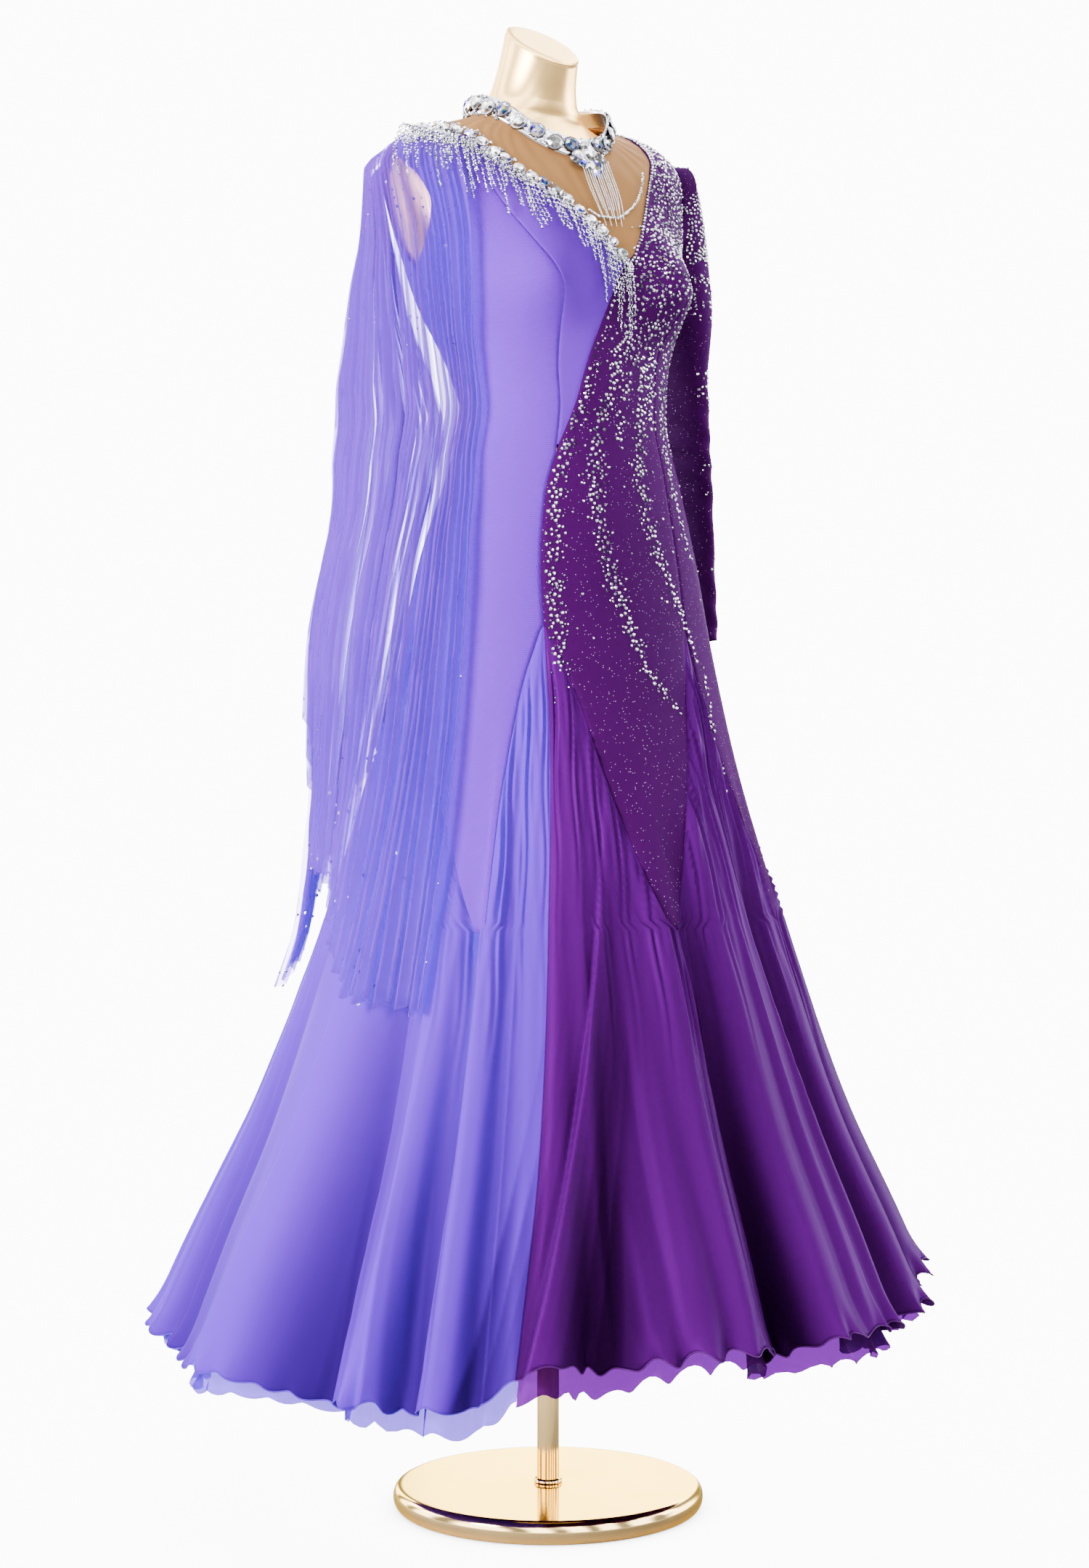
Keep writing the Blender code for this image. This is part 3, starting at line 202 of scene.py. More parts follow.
def lapHeight(turn, height):
    total = np.zeros(np.broadcast(turn, height).shape)
    for top, hem, side, size, reach, start in laps:
        centre, share = foldPlace(top, hem, start, height)
        away = around(turn - centre) * side
        total = total + size * share**1.1 * np.exp(-np.maximum(away, 0) / reach) * smooth(away / 0.9 + 0.5)
    return total


def foldRelief(turn, height, fine=1.0):
    return (foldHeight(turn, height, skirtFolds, 1.0, 1.35) + fine * foldHeight(turn, height, creases, 1.4, 1.8)
            + min(2 * fine, 1.0) * lapHeight(turn, height))


def onBody(turn, height, out=0.0, fine=1.0):  # a point this far outside the body, with the skirt's folds
    turn, height = np.broadcast_arrays(np.asarray(turn, float), np.asarray(height, float))
    lift = np.asarray(out + foldRelief(turn, height, fine))
    return bodyPoint(turn, height) + bodyNormal(turn, height) * lift[..., None]


def mix(a, b, t):
    return a + (b - a) * t


def smooth(t):
    t = np.clip(t, 0, 1)
    return t * t * (3 - 2 * t)


# materials

def feed(tree, target, inputs):  # each input takes a plain value or another node's output
    for name, value in inputs.items():
        if isinstance(value, bpy.types.NodeSocket):
            tree.links.new(value, target.inputs[name])
        else:
            target.inputs[name].default_value = value


def node(tree, kind, inputs=None, **values):
    made = tree.nodes.new(kind)
    for name, value in values.items():
        setattr(made, name, value)
    feed(tree, made, inputs or {})
    return made


def newMaterial(name):
    made = bpy.data.materials.new(name)
    made.use_nodes = True
    return made, made.node_tree, made.node_tree.nodes["Principled BSDF"]


def colourRamp(tree, factor, stops):
    ramp = node(tree, "ShaderNodeValToRGB", {"Fac": factor})
    while len(ramp.color_ramp.elements) < len(stops):
        ramp.color_ramp.elements.new(0.5)
    for element, (place, colour) in zip(ramp.color_ramp.elements, stops):
        element.position = place
        element.color = (*colour, 1.0)
    return ramp.outputs["Color"]


def calculate(tree, operation, *values):
    return node(tree, "ShaderNodeMath", dict(enumerate(values)), operation=operation).outputs[0]


def mixColours(tree, factor, first, second, blend="MIX"):
    made = node(tree, "ShaderNodeMix", {"Factor": factor, "A": first, "B": second}, data_type="RGBA", blend_type=blend)
    return made.outputs["Result"]


def mixShaders(tree, factor, first, second):
    return node(tree, "ShaderNodeMixShader", {"Fac": factor, 1: first, 2: second}).outputs["Shader"]


def objectSpace(tree):
    return node(tree, "ShaderNodeTexCoord").outputs["Object"]


def noise(tree, scale, detail=2.0):
    inputs = {"Scale": scale, "Detail": detail, "Vector": objectSpace(tree)}
    return node(tree, "ShaderNodeTexNoise", inputs).outputs["Fac"]


def bumpNormal(tree, height, strength, distance, under=None):
    inputs = {"Height": height, "Strength": strength, "Distance": distance}
    if under is not None:
        inputs["Normal"] = under
    return node(tree, "ShaderNodeBump", inputs).outputs["Normal"]


def clothMaterial(name, look):
    made, tree, shader = newMaterial(name)
    light = look["light"]
    space = node(tree, "ShaderNodeUVMap", uv_map="cloth").outputs["UV"]
    waves = [node(tree, "ShaderNodeTexWave", {"Scale": math.pi / (10 * pitch), "Distortion": 0.4, "Detail": 1.0,
                                              "Vector": space}, bands_direction=axis).outputs["Fac"]
             for axis, pitch in (("X", look["warp"]), ("Y", look["weft"]))]
    weave = calculate(tree, "ADD", *waves)
    stops = ((0.30, look["deep"]), (0.52, look["colour"]), (0.75, light))
    tone = colourRamp(tree, noise(tree, look["patch"], 3.0), stops)
    shade = colourRamp(tree, weave, ((0.2, (0.55, 0.55, 0.55)), (0.9, (1.0, 1.0, 1.0))))
    colour = mixColours(tree, look["ribShade"], tone, shade, "MULTIPLY")
    if look.get("valley"):  # painted shade: the deep folds' valleys are darkened in the base colour by the shade attribute
        depth = node(tree, "ShaderNodeAttribute", attribute_name="shade").outputs["Color"]
        colour = mixColours(tree, look["valley"], colour, depth, "MULTIPLY")
    # painted glints: tiny pale lilac dots in the base colour, the crepe's flecks painted as if caught in the light
    if look.get("glitterGlints"):
        spark = node(tree, "ShaderNodeTexVoronoi", {"Scale": look["glitterGlints"], "Vector": objectSpace(tree)})
        red = node(tree, "ShaderNodeSeparateColor", {"Color": spark.outputs["Color"]}).outputs["Red"]
        dot = calculate(tree, "LESS_THAN", spark.outputs["Distance"], 0.16)
        lit = calculate(tree, "MULTIPLY", dot, calculate(tree, "GREATER_THAN", red, 0.72))
        colour = mixColours(tree, lit, colour, (0.75, 0.62, 0.90, 1.0))
    bump = bumpNormal(tree, weave, look["bump"], 0.0006)
    feed(tree, shader, {
        "Base Color": colour, "Roughness": look["rough"], "Metallic": look.get("satin", 0.0),
        "Sheen Weight": look["sheen"], "Sheen Roughness": 0.45, "Sheen Tint": (*light, 1.0),
        "Specular IOR Level": look["shine"], "Specular Tint": (*(v / max(light) for v in light), 1.0),
        "Normal": bumpNormal(tree, noise(tree, look["grain"], 4.0), look["crumple"], 0.002, bump)})
    result = shader.outputs["BSDF"]
    if look.get("glow"):
        through = node(tree, "ShaderNodeBsdfTranslucent", {"Color": colour}).outputs["BSDF"]
        result = mixShaders(tree, look["glow"], result, through)
    if look.get("cover"):
        cover = look["cover"]
        if look.get("doubled"):  # where a pleat lies over the next, the cloth covers more
            pleat = node(tree, "ShaderNodeAttribute", attribute_name="pleat").outputs["Fac"]
            cover = node(tree, "ShaderNodeMapRange",
                         {"Value": pleat, "To Min": cover, "To Max": look["doubled"]}).outputs["Result"]
        clear = node(tree, "ShaderNodeBsdfTransparent", {"Color": (*look["veil"], 1.0)}).outputs["BSDF"]
        result = mixShaders(tree, cover, clear, result)
    feed(tree, tree.nodes["Material Output"], {"Surface": result})
    return made


chiffonWeave = {"warp": 0.0009, "weft": 0.0009, "ribShade": 0.10, "bump": 0.10}
skirtLook = {**chiffonWeave, "patch": 2.4, "grain": 24.0, "crumple": 0.10}
frillLook = {**chiffonWeave, "patch": 5.0, "grain": 30.0, "crumple": 0.08, "cover": 0.62, "shine": 0.02}
clothLooks = {
    "lilacCrepe": {"colour": (0.225, 0.024, 0.86), "deep": (0.205, 0.020, 0.80), "light": (0.245, 0.028, 0.92),
                   "rough": 0.62, "sheen": 0.15, "shine": 0.03, "warp": 0.0011, "weft": 0.0024, "patch": 3.0,
                   "ribShade": 0.40, "grain": 60.0, "bump": 0.45, "crumple": 0.05},
    "purpleCrepe": {"colour": (0.054, 0.0012, 0.084), "deep": (0.046, 0.0010, 0.072), "light": (0.062, 0.0015, 0.096),
                    "rough": 0.55, "sheen": 0.06, "shine": 0.02, "warp": 0.0011, "weft": 0.0021, "patch": 4.0,
                    "ribShade": 0.25, "grain": 60.0, "bump": 0.30, "crumple": 0.05, "glitterGlints": 420.0, "satin": 0.10},
    "lilacChiffon": {**skirtLook, "colour": (0.185, 0.022, 0.90), "deep": (0.16, 0.018, 0.84),
                     "light": (0.21, 0.028, 0.96), "rough": 0.46, "sheen": 0.12, "shine": 0.01, "glow": 0.10,
                     "cover": 0.98, "veil": (0.5, 0.4, 0.95), "valley": 0.92},
    "lilacVeil": {"colour": (0.38, 0.085, 0.98), "deep": (0.31, 0.065, 0.92), "light": (0.47, 0.12, 1.0),
                  "rough": 0.50, "sheen": 0.10, "shine": 0.02, "warp": 0.0010, "weft": 0.0010, "patch": 3.0,
                  "ribShade": 0.12, "grain": 30.0, "bump": 0.10, "crumple": 0.08, "glow": 0.35, "cover": 0.14,
                  "doubled": 0.50, "veil": (0.86, 0.81, 1.0)},
    "purpleChiffon": {**skirtLook, "colour": (0.080, 0.0010, 0.150), "deep": (0.068, 0.0008, 0.125),
                      "light": (0.094, 0.0013, 0.176), "rough": 0.38, "sheen": 0.06, "shine": 0.02, "glow": 0.06,
                      "cover": 0.99, "veil": (0.3, 0.03, 0.45), "satin": 0.10, "valley": 0.96},
    "lilacFrill": {**frillLook, "colour": (0.21, 0.045, 0.93), "deep": (0.18, 0.035, 0.88), "light": (0.25, 0.06, 0.97),
                   "rough": 0.50, "sheen": 0.20, "glow": 0.40, "veil": (0.55, 0.45, 0.95)},
    "purpleFrill": {**frillLook, "colour": (0.12, 0.006, 0.19), "deep": (0.09, 0.004, 0.15),
                    "light": (0.16, 0.01, 0.25), "rough": 0.45, "sheen": 0.10, "glow": 0.35,
                    "veil": (0.42, 0.12, 0.60)},
    "nudeNet": {"colour": (0.50, 0.245, 0.085), "deep": (0.44, 0.21, 0.07), "light": (0.57, 0.30, 0.11),
                "rough": 0.50, "sheen": 0.10, "shine": 0.05, "warp": 0.0012, "weft": 0.0012, "patch": 6.0,
                "ribShade": 0.25, "grain": 20.0, "bump": 0.15, "crumple": 0.25, "cover": 0.90,
                "veil": (0.9, 0.7, 0.45), "satin": 0.10},
}
cloth = {name: clothMaterial(name, look) for name, look in clothLooks.items()}


def threadMaterial(name, colour):
    made, tree, shader = newMaterial(name)
    dark = tuple(v * 0.7 for v in colour)
    feed(tree, shader, {"Base Color": colourRamp(tree, noise(tree, 900.0), ((0.3, dark), (0.7, colour))),
                        "Roughness": 0.5, "Specular IOR Level": 0.1})
    return made


thread = {"lilac_chiffon": threadMaterial("lilacThread", (0.13, 0.03, 0.72)),
          "purple_chiffon": threadMaterial("purpleThread", (0.10, 0.006, 0.17))}


def metalMaterial(name, colour, rough, patch, scratch):
    made, tree, shader = newMaterial(name)
    haze = noise(tree, patch, 4.0)
    darker = tuple(v * 0.86 for v in colour)
    worn = node(tree, "ShaderNodeMapRange", {"Value": haze, "To Min": rough * 0.7, "To Max": rough * 1.4})
    feed(tree, shader, {
        "Metallic": 1.0, "Specular Tint": (*(min(1.0, v / max(colour) * 1.15) for v in colour), 1.0),
        "Base Color": colourRamp(tree, haze, ((0.3, darker), (0.7, colour))), "Roughness": worn.outputs["Result"],
        "Normal": bumpNormal(tree, haze, scratch, 0.0003)})
    return made


goldMetal = metalMaterial("champagneGold", (0.80, 0.56, 0.22), 0.10, 14.0, 0.02)
silverBead = metalMaterial("silverBead", (0.62, 0.62, 0.66), 0.16, 700.0, 0.10)
darkBead = metalMaterial("darkBead", (0.20, 0.20, 0.24), 0.12, 700.0, 0.10)


def pearlMaterial():
    made, tree, shader = newMaterial("pearlGold")
    tone = colourRamp(tree, noise(tree, 5.0, 3.0), ((0.3, (0.95, 0.59, 0.20)), (0.7, (0.98, 0.64, 0.24))))
    feed(tree, shader, {
        "Base Color": tone, "Metallic": 0.80, "Roughness": 0.30, "Specular Tint": (1.0, 0.84, 0.55, 1.0),
        "Coat Weight": 0.12, "Coat Roughness": 0.12, "Normal": bumpNormal(tree, noise(tree, 1800.0), 0.05, 0.0002)})
    return made


pearlGold = pearlMaterial()


def stoneMaterial(name, facet, stops):  # painted reflections: each facet's light or near-black tone comes from its stone's number and a cell pattern
    made, tree, shader = newMaterial(name)
    glintOffset = node(tree, "ShaderNodeAttribute", attribute_name="stoneGlintOffset").outputs["Fac"]
    cells = node(tree, "ShaderNodeTexVoronoi", {"Scale": facet, "Vector": objectSpace(tree)}).outputs["Color"]
    red = node(tree, "ShaderNodeSeparateColor", {"Color": cells}).outputs["Red"]
    place = calculate(tree, "FRACT", calculate(tree, "ADD", glintOffset, red))
    feed(tree, shader, {"Base Color": colourRamp(tree, place, stops), "Metallic": 0.9, "Roughness": 0.10,
                        "Coat Weight": 0.4, "Coat Roughness": 0.03})
    return made


# painted reflections: the clear and big stones' light and near-black facets stand for glints and dark reflections; the
# dark stones keep their navy tone and the rainbow stones their coloured coating, with lighter and darker facets painted
# on as well
clearStone = stoneMaterial("clearStone", 900.0, (
    (0.00, (0.80, 0.80, 0.82)), (0.22, (0.30, 0.30, 0.34)), (0.36, (0.014, 0.013, 0.022)), (0.50, (0.62, 0.62, 0.66)),
    (0.68, (0.05, 0.05, 0.08)), (0.84, (0.38, 0.38, 0.42)), (1.00, (0.85, 0.85, 0.86))))
darkStone = stoneMaterial("darkStone", 900.0, (
    (0.00, (0.14, 0.14, 0.20)), (0.35, (0.006, 0.006, 0.018)), (0.60, (0.020, 0.018, 0.05)), (0.80, (0.22, 0.22, 0.30)),
    (1.00, (0.010, 0.009, 0.025))))
bigStone = stoneMaterial("bigStone", 260.0, (
    (0.00, (0.80, 0.80, 0.80)), (0.28, (0.24, 0.25, 0.27)), (0.42, (0.012, 0.013, 0.016)), (0.55, (0.66, 0.66, 0.66)),
    (0.76, (0.07, 0.07, 0.08)), (0.88, (0.42, 0.41, 0.36)), (1.00, (0.85, 0.85, 0.86))))
rainbowStone = stoneMaterial("rainbowStone", 240.0, (
    (0.00, (0.60, 0.57, 0.66)), (0.16, (0.005, 0.012, 0.36)), (0.34, (0.08, 0.035, 0.50)), (0.48, (0.70, 0.70, 0.74)),
    (0.62, (0.70, 0.52, 0.10)), (0.76, (0.02, 0.26, 0.42)), (0.88, (0.03, 0.02, 0.16)), (1.00, (0.75, 0.68, 0.72))))


# making meshes

def keepPiece(made, replaced=()):
    bpy.context.scene.collection.objects.link(made)
    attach(made, "root")
    if replaced:
        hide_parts(*replaced)
    return made


def gridMesh(name, points, wrap=False):
    rows, columns = points.shape[:2]
    index = np.arange(rows * columns).reshape(rows, columns)
    loop = points
    if wrap:
        index = np.hstack([index, index[:, :1]])
        loop = np.concatenate([points, points[:, :1]], axis=1)
    quads = np.stack([index[:-1, :-1], index[1:, :-1], index[1:, 1:], index[:-1, 1:]], axis=-1).reshape(-1, 4)
    mesh = bpy.data.meshes.new(name)
    mesh.from_pydata(points.reshape(-1, 3).tolist(), [], quads.tolist())
    across = np.linalg.norm(np.diff(loop, axis=1), axis=2)
    across = np.concatenate([np.zeros((rows, 1)), np.cumsum(across, axis=1)], axis=1)
    across = across - across.mean(axis=1, keepdims=True)
    down = np.linalg.norm(np.diff(loop, axis=0), axis=2)
    down = np.concatenate([np.zeros((1, loop.shape[1])), np.cumsum(down, axis=0)], axis=0)
    uv = np.stack([across, -down], axis=-1)
    corners = np.stack([uv[:-1, :-1], uv[1:, :-1], uv[1:, 1:], uv[:-1, 1:]], axis=2).reshape(-1, 2)
    layer = mesh.uv_layers.new(name="cloth")
    layer.data.foreach_set("uv", corners.astype(np.float32).ravel())
    mesh.shade_smooth()
    mesh.update()
    return mesh


def cutSize(points, wrap=False):  # the grid's widest row, longest column and area
    loop = np.concatenate([points, points[:, :1]], axis=1) if wrap else points
    wide = np.linalg.norm(np.diff(loop, axis=1), axis=2).sum(axis=1).max()
    tall = np.linalg.norm(np.diff(loop, axis=0), axis=2).sum(axis=0).max()
    a, b = loop[1:, :-1] - loop[:-1, :-1], loop[:-1, 1:] - loop[:-1, :-1]
    c, d = loop[1:, :-1] - loop[1:, 1:], loop[:-1, 1:] - loop[1:, 1:]
    area = (np.linalg.norm(np.cross(a, b), axis=2) + np.linalg.norm(np.cross(c, d), axis=2)).sum() / 2
    return wide, tall, area


cutTable = {}


def clothPiece(name, points, material, replaced, thick=0.0007, wrap=False, marks=None):
    mesh = gridMesh(name, points, wrap)
    mesh.materials.append(material)
    for attribute, values in (marks or {}).items():
        mesh.attributes.new(attribute, "FLOAT", "POINT").data.foreach_set("value", values.astype(np.float32).ravel())
    made = bpy.data.objects.new(name, mesh)
    keepPiece(made, replaced)
    wall = made.modifiers.new("thickness", "SOLIDIFY")
    wall.thickness = thick
    wall.offset = -1.0
    wide, tall, area = cutSize(points, wrap)
    cutTable[name] = (round(wide, 3), round(tall, 3), round(area, 4))


def turnedPiece(name, profile, sides, material, replaced):
    shape = bmesh.new()
    rings = []
    for radius, height in profile:
        if radius < 1e-6:
            rings.append([shape.verts.new((0, 0, height))])
            continue
        turns = [2 * math.pi * k / sides for k in range(sides)]
        rings.append([shape.verts.new((radius * math.sin(a), -radius * math.cos(a), height)) for a in turns])
    for low, high in zip(rings[:-1], rings[1:]):
        for k in range(sides):
            n = (k + 1) % sides
            corners = [low[k % len(low)], low[n % len(low)], high[n % len(high)], high[k % len(high)]]
            shape.faces.new(list(dict.fromkeys(corners)))
    mesh = bpy.data.meshes.new(name)
    bmesh.ops.recalc_face_normals(shape, faces=shape.faces)
    shape.to_mesh(mesh)
    shape.free()
    mesh.shade_smooth()
    mesh.set_sharp_from_angle(angle=math.radians(50))
    mesh.materials.append(material)
    keepPiece(bpy.data.objects.new(name, mesh), replaced)


# stand and form
stand = {"plateRadius": 0.1775, "plateHeight": 0.026, "rim": 0.009, "poleRadius": 0.0125, "bottom": 0.850, "sides": 128}


def makeStand():
    inner = stand["plateRadius"] - stand["rim"]
    profile = [(0, 0), (inner - 0.004, 0.0), (inner, 0.0006)]
    for k in range(13):
        angle = math.radians(-78 + 13 * k)
        profile.append((inner + stand["rim"] * math.cos(angle), stand["plateHeight"] / 2 * (1 + math.sin(angle))))
    top = stand["plateHeight"]
    profile += [(inner - 0.002, top), (0.030, top + 0.0001), (0, top + 0.0001)]
    turnedPiece("standPlate", profile, stand["sides"], goldMetal, ["stand_base"])
    r, foot, top = stand["poleRadius"], stand["plateHeight"] + 0.0003, stand["bottom"] - 0.0003
    pole = [(0, foot), (r + 0.0030, foot), (r + 0.0034, foot + 0.0008), (r + 0.0034, foot + 0.0035),
            (r + 0.0026, foot + 0.0045), (r, foot + 0.0052), (r, top), (0, top)]
    turnedPiece("standPole", pole, 64, goldMetal, ["stand_pole"])


formEase = smoothCurve((  # the form's clearance under the cloth
    (0.85, 0.006), (1.10, 0.005), (1.24, 0.009), (1.38, 0.005), (1.44, 0.0032), (1.50, 0.006), (1.55, 0.012),
    (1.575, 0.0165), (1.60, 0.0035)))
neck = {"ring": 1.600, "top": 1.679, "slant": 0.030, "bustShare": 0.80}


def makeForm():
    spans = ((0.85, 1.50, 40), (1.51, 1.60, 26), (1.61, neck["top"], 14))
    heights = np.concatenate([np.linspace(*span) for span in spans])
    turns = np.linspace(0, 360, 97)[:-1]
    t, h = np.meshgrid(turns, heights[::-1])
    points = bodyPoint(t, h, neck["bustShare"], 0.0) - bodyNormal(t, h, 0.0) * formEase(h)[..., None]
    slant = neck["slant"] * np.clip((h - neck["ring"]) / (neck["top"] - neck["ring"]), 0, None)
    points[..., 2] = h - slant * np.cos(np.radians(t))
    cap = []
    middle = points[0].mean(axis=0)
    for inset, drop in ((0.010, 0.0), (0.003, 0.0), (0.0010, 0.0010)):
        cap.append(points[0] + (middle - points[0]) * inset / 0.045 * np.array([1, 1, 1.0]) - np.array([0, 0, drop]))
    points[0, :, 2] -= 0.003
    grid = np.concatenate([np.stack(cap), points])
    mesh = gridMesh("dressForm", grid, wrap=True)
    shape = bmesh.new()
    shape.from_mesh(mesh)
    bmesh.ops.holes_fill(shape, edges=[e for e in shape.edges if e.is_boundary], sides=0)
    shape.to_mesh(mesh)
    shape.free()
    mesh.shade_smooth()
    mesh.set_sharp_from_angle(angle=math.radians(60))
    mesh.materials.append(pearlGold)
    keepPiece(bpy.data.objects.new("dressForm", mesh), ["form_torso"])


makeStand()
makeForm()
print("stand and form made")


# bodice: six crepe panels, each between two seams, from the neckline down to its point
seamLook = {"dip": 0.0007, "width": 0.0035, "rows": 112, "columns": 30}


def frontSide(sign):
    return lambda h: sign * (sideSeam(h) - armhole(h))


def backSide(sign):
    return lambda h: (0.0 if sign > 0 else 360.0) + sign * (sideSeam(h) + armhole(h) * 0.85)


def frontEdge(h):
    return np.where(h >= level["waist"], princessSeam(h), colourSeam(h))


panels = {
    "lilacSide": (frontSide(-1), frontEdge, "lilac_side"),
    "lilacFront": (princessSeam, colourSeam, "lilac_front"),
    "purpleFront": (colourSeam, purpleSeam, "purple_front"),
    "purpleSide": (purpleSeam, frontSide(1), "purple_side"),
    "purpleBack": (backSide(1), lambda h: np.full(np.shape(h), 180.0), "purple_back"),
    "lilacBack": (lambda h: np.full(np.shape(h), 180.0), backSide(-1), "lilac_back"),
}


def topOf(edge):  # where a seam meets the neckline
    height = 1.5
    for _ in range(14):
        height = float(neckline(around(float(edge(height)))))
    return height


def panelGrid(name):
    left, right, _node = panels[name]
    columns = seamLook["columns"]
    t = np.linspace(0, 1, columns + 1)
    topLeft, topRight = topOf(left), topOf(right)
    rows = int(seamLook["rows"] * 0.5)
    share = np.linspace(1, 0, rows)[:, None]
    waist = level["waist"]
    hl, hr = waist + share * (topLeft - waist), waist + share * (topRight - waist)
    turn = mix(left(hl), right(hr), t[None, :])
    bend = neckline(around(turn[0])) - mix(topLeft, topRight, t)
    bend[[0, -1]] = 0
    height = mix(hl, hr, t[None, :]) + bend[None, :] * share**3
    turns, heights = [turn], [height]
    if name != "lilacFront":
        h = np.linspace(waist, level["apex"], int(seamLook["rows"] * 0.2))[1:, None]
        turns.append(mix(left(h), right(h), t[None, :]))
        heights.append(np.broadcast_to(h, turns[-1].shape))
        h = np.linspace(level["apex"], level["point"], int(seamLook["rows"] * 0.35))[1:, None]
        turns.append(mix(panelFoot[name + "Left"](h), panelFoot[name + "Right"](h), t[None, :]))
        heights.append(np.broadcast_to(h, turns[-1].shape))
    return np.concatenate(turns), np.concatenate(heights)


def acrossRows(turn, height):  # each grid point's distance from its row's left edge
    span = np.linalg.norm(np.diff(bodyPoint(turn, height), axis=1), axis=2)
    return np.concatenate([np.zeros((len(turn), 1)), np.cumsum(span, axis=1)], axis=1)


def titled(prefix, name):
    return prefix + name[0].upper() + name[1:]


for name in panels:
    turn, height = panelGrid(name)
    fromLeft = acrossRows(turn, height)
    edgeAway = np.minimum(fromLeft, fromLeft[:, -1:] - fromLeft)
    dip = seamLook["dip"] * np.exp(-((edgeAway / seamLook["width"]) ** 2))
    points = onBody(turn, height, level["clothOut"] - dip)
    kind = "lilac" if "lilac" in name else "purple"
    clothPiece(titled("bodice", name), points, cloth[kind + "Crepe"], ["bodice_" + panels[name][2]])
print("bodice made")


# skirt: seven chiffon godets with gathers below their seams, and their waved hems
godets = {  # left edge, right edge, solid, columns
    "lilacFront": ("lilacSideRight", "colour", "godet_lilac_front", 64),
    "purpleFront": ("colour", "purpleFrontLeft", "godet_purple_front", 124),
    "purpleSide": ("purpleFrontRight", "purpleSideLeft", "godet_purple_side", 150),
    "purpleHip": ("purpleSideRight", "purpleBackLeft", "godet_purple_hip", 260),
    "purpleBack": ("purpleBackRight", "centre", "godet_purple_back", 116),
    "lilacBack": ("centre", "lilacBackLeft", "godet_lilac_back", 116),
    "lilacSide": ("lilacBackRight", "lilacSideLeft", "godet_lilac_side", 280),
}
godetFoot = {
    "lilacSideRight": -52.0, "lilacSideLeft": -52.0, "purpleFrontLeft": -2.75, "purpleFrontRight": -2.75,
    "purpleSideLeft": 47.0, "purpleSideRight": 47.0, "purpleBackLeft": 138.0, "purpleBackRight": 138.0,
    "lilacBackLeft": 222.0, "lilacBackRight": 222.0,
}
skirt = {"rowsUpper": 38, "rowsLower": 36, "rowsHem": 12, "gather": 0.0040, "gatherReach": 0.040, "gatherTurn": 3.9}
hem = {"wave": 0.0075, "curl": 0.005, "period": 0.038, "reach": 0.045, "thread": 0.0008, "clear": 0.0008}


def hemWave():  # the waved edge's phase and size at every turn, uneven in length and height
    turn = np.linspace(-180, 180, 1441)
    line = onBody(turn, hemline(turn) + 0.01, 0.0, 0.0)
    length = pathLength(line)
    rng = np.random.default_rng(31)
    steps = rng.uniform(0.55, 1.45, int(length[-1] / hem["period"]))
    knots = np.concatenate([[0], np.cumsum(steps)]) / steps.sum() * length[-1]
    phase = np.interp(length, knots, np.arange(len(knots)))
    sizes = rng.uniform(0.30, 1.20, len(knots))
    sizes[-1] = sizes[0]
    size = np.interp(phase, np.arange(len(knots)), sizes)
    return lambda at: (np.interp(around(at), turn, phase), np.interp(around(at), turn, size))


wavePhase = hemWave()


def godetEdge(edge, h):
    if edge == "colour":
        return colourSeam(h)
    if edge == "centre":
        return np.full(np.shape(h), 180.0)
    return np.where(h >= level["point"], panelFoot[edge](h), godetFoot[edge])


def godetGrid(name):
    left, right, _node, columns = godets[name]
    t = np.linspace(0, 1, columns + 1)[None, :]
    h = np.linspace(level["apex"], level["point"], skirt["rowsUpper"])[:-1, None]
    a, b = godetEdge(left, h), godetEdge(right, h)
    b = np.where(b < a - 1, b + 360, b)
    turns, heights = [mix(a, b, t)], [np.broadcast_to(h, mix(a, b, t).shape)]
    a, b = godetEdge(left, level["point"] - 0.01), godetEdge(right, level["point"] - 0.01)
    b = np.where(b < a - 1, b + 360, b)
    foot = hemline(around(mix(a, b, t))) + hem["clear"]
    share = np.linspace(0, 1, skirt["rowsLower"])[:, None]
    upper = mix(level["point"], foot + hem["reach"], share)
    height = np.concatenate([upper, mix(upper[-1:], foot, np.linspace(0, 1, skirt["rowsHem"])[1:, None])])
    a = colourSeam(height) if left == "colour" else a
    b = colourSeam(height) if right == "colour" else b
    turns.append(np.broadcast_to(mix(a, b, t), height.shape))
    heights.append(height)
    return np.concatenate(turns), np.concatenate(heights)


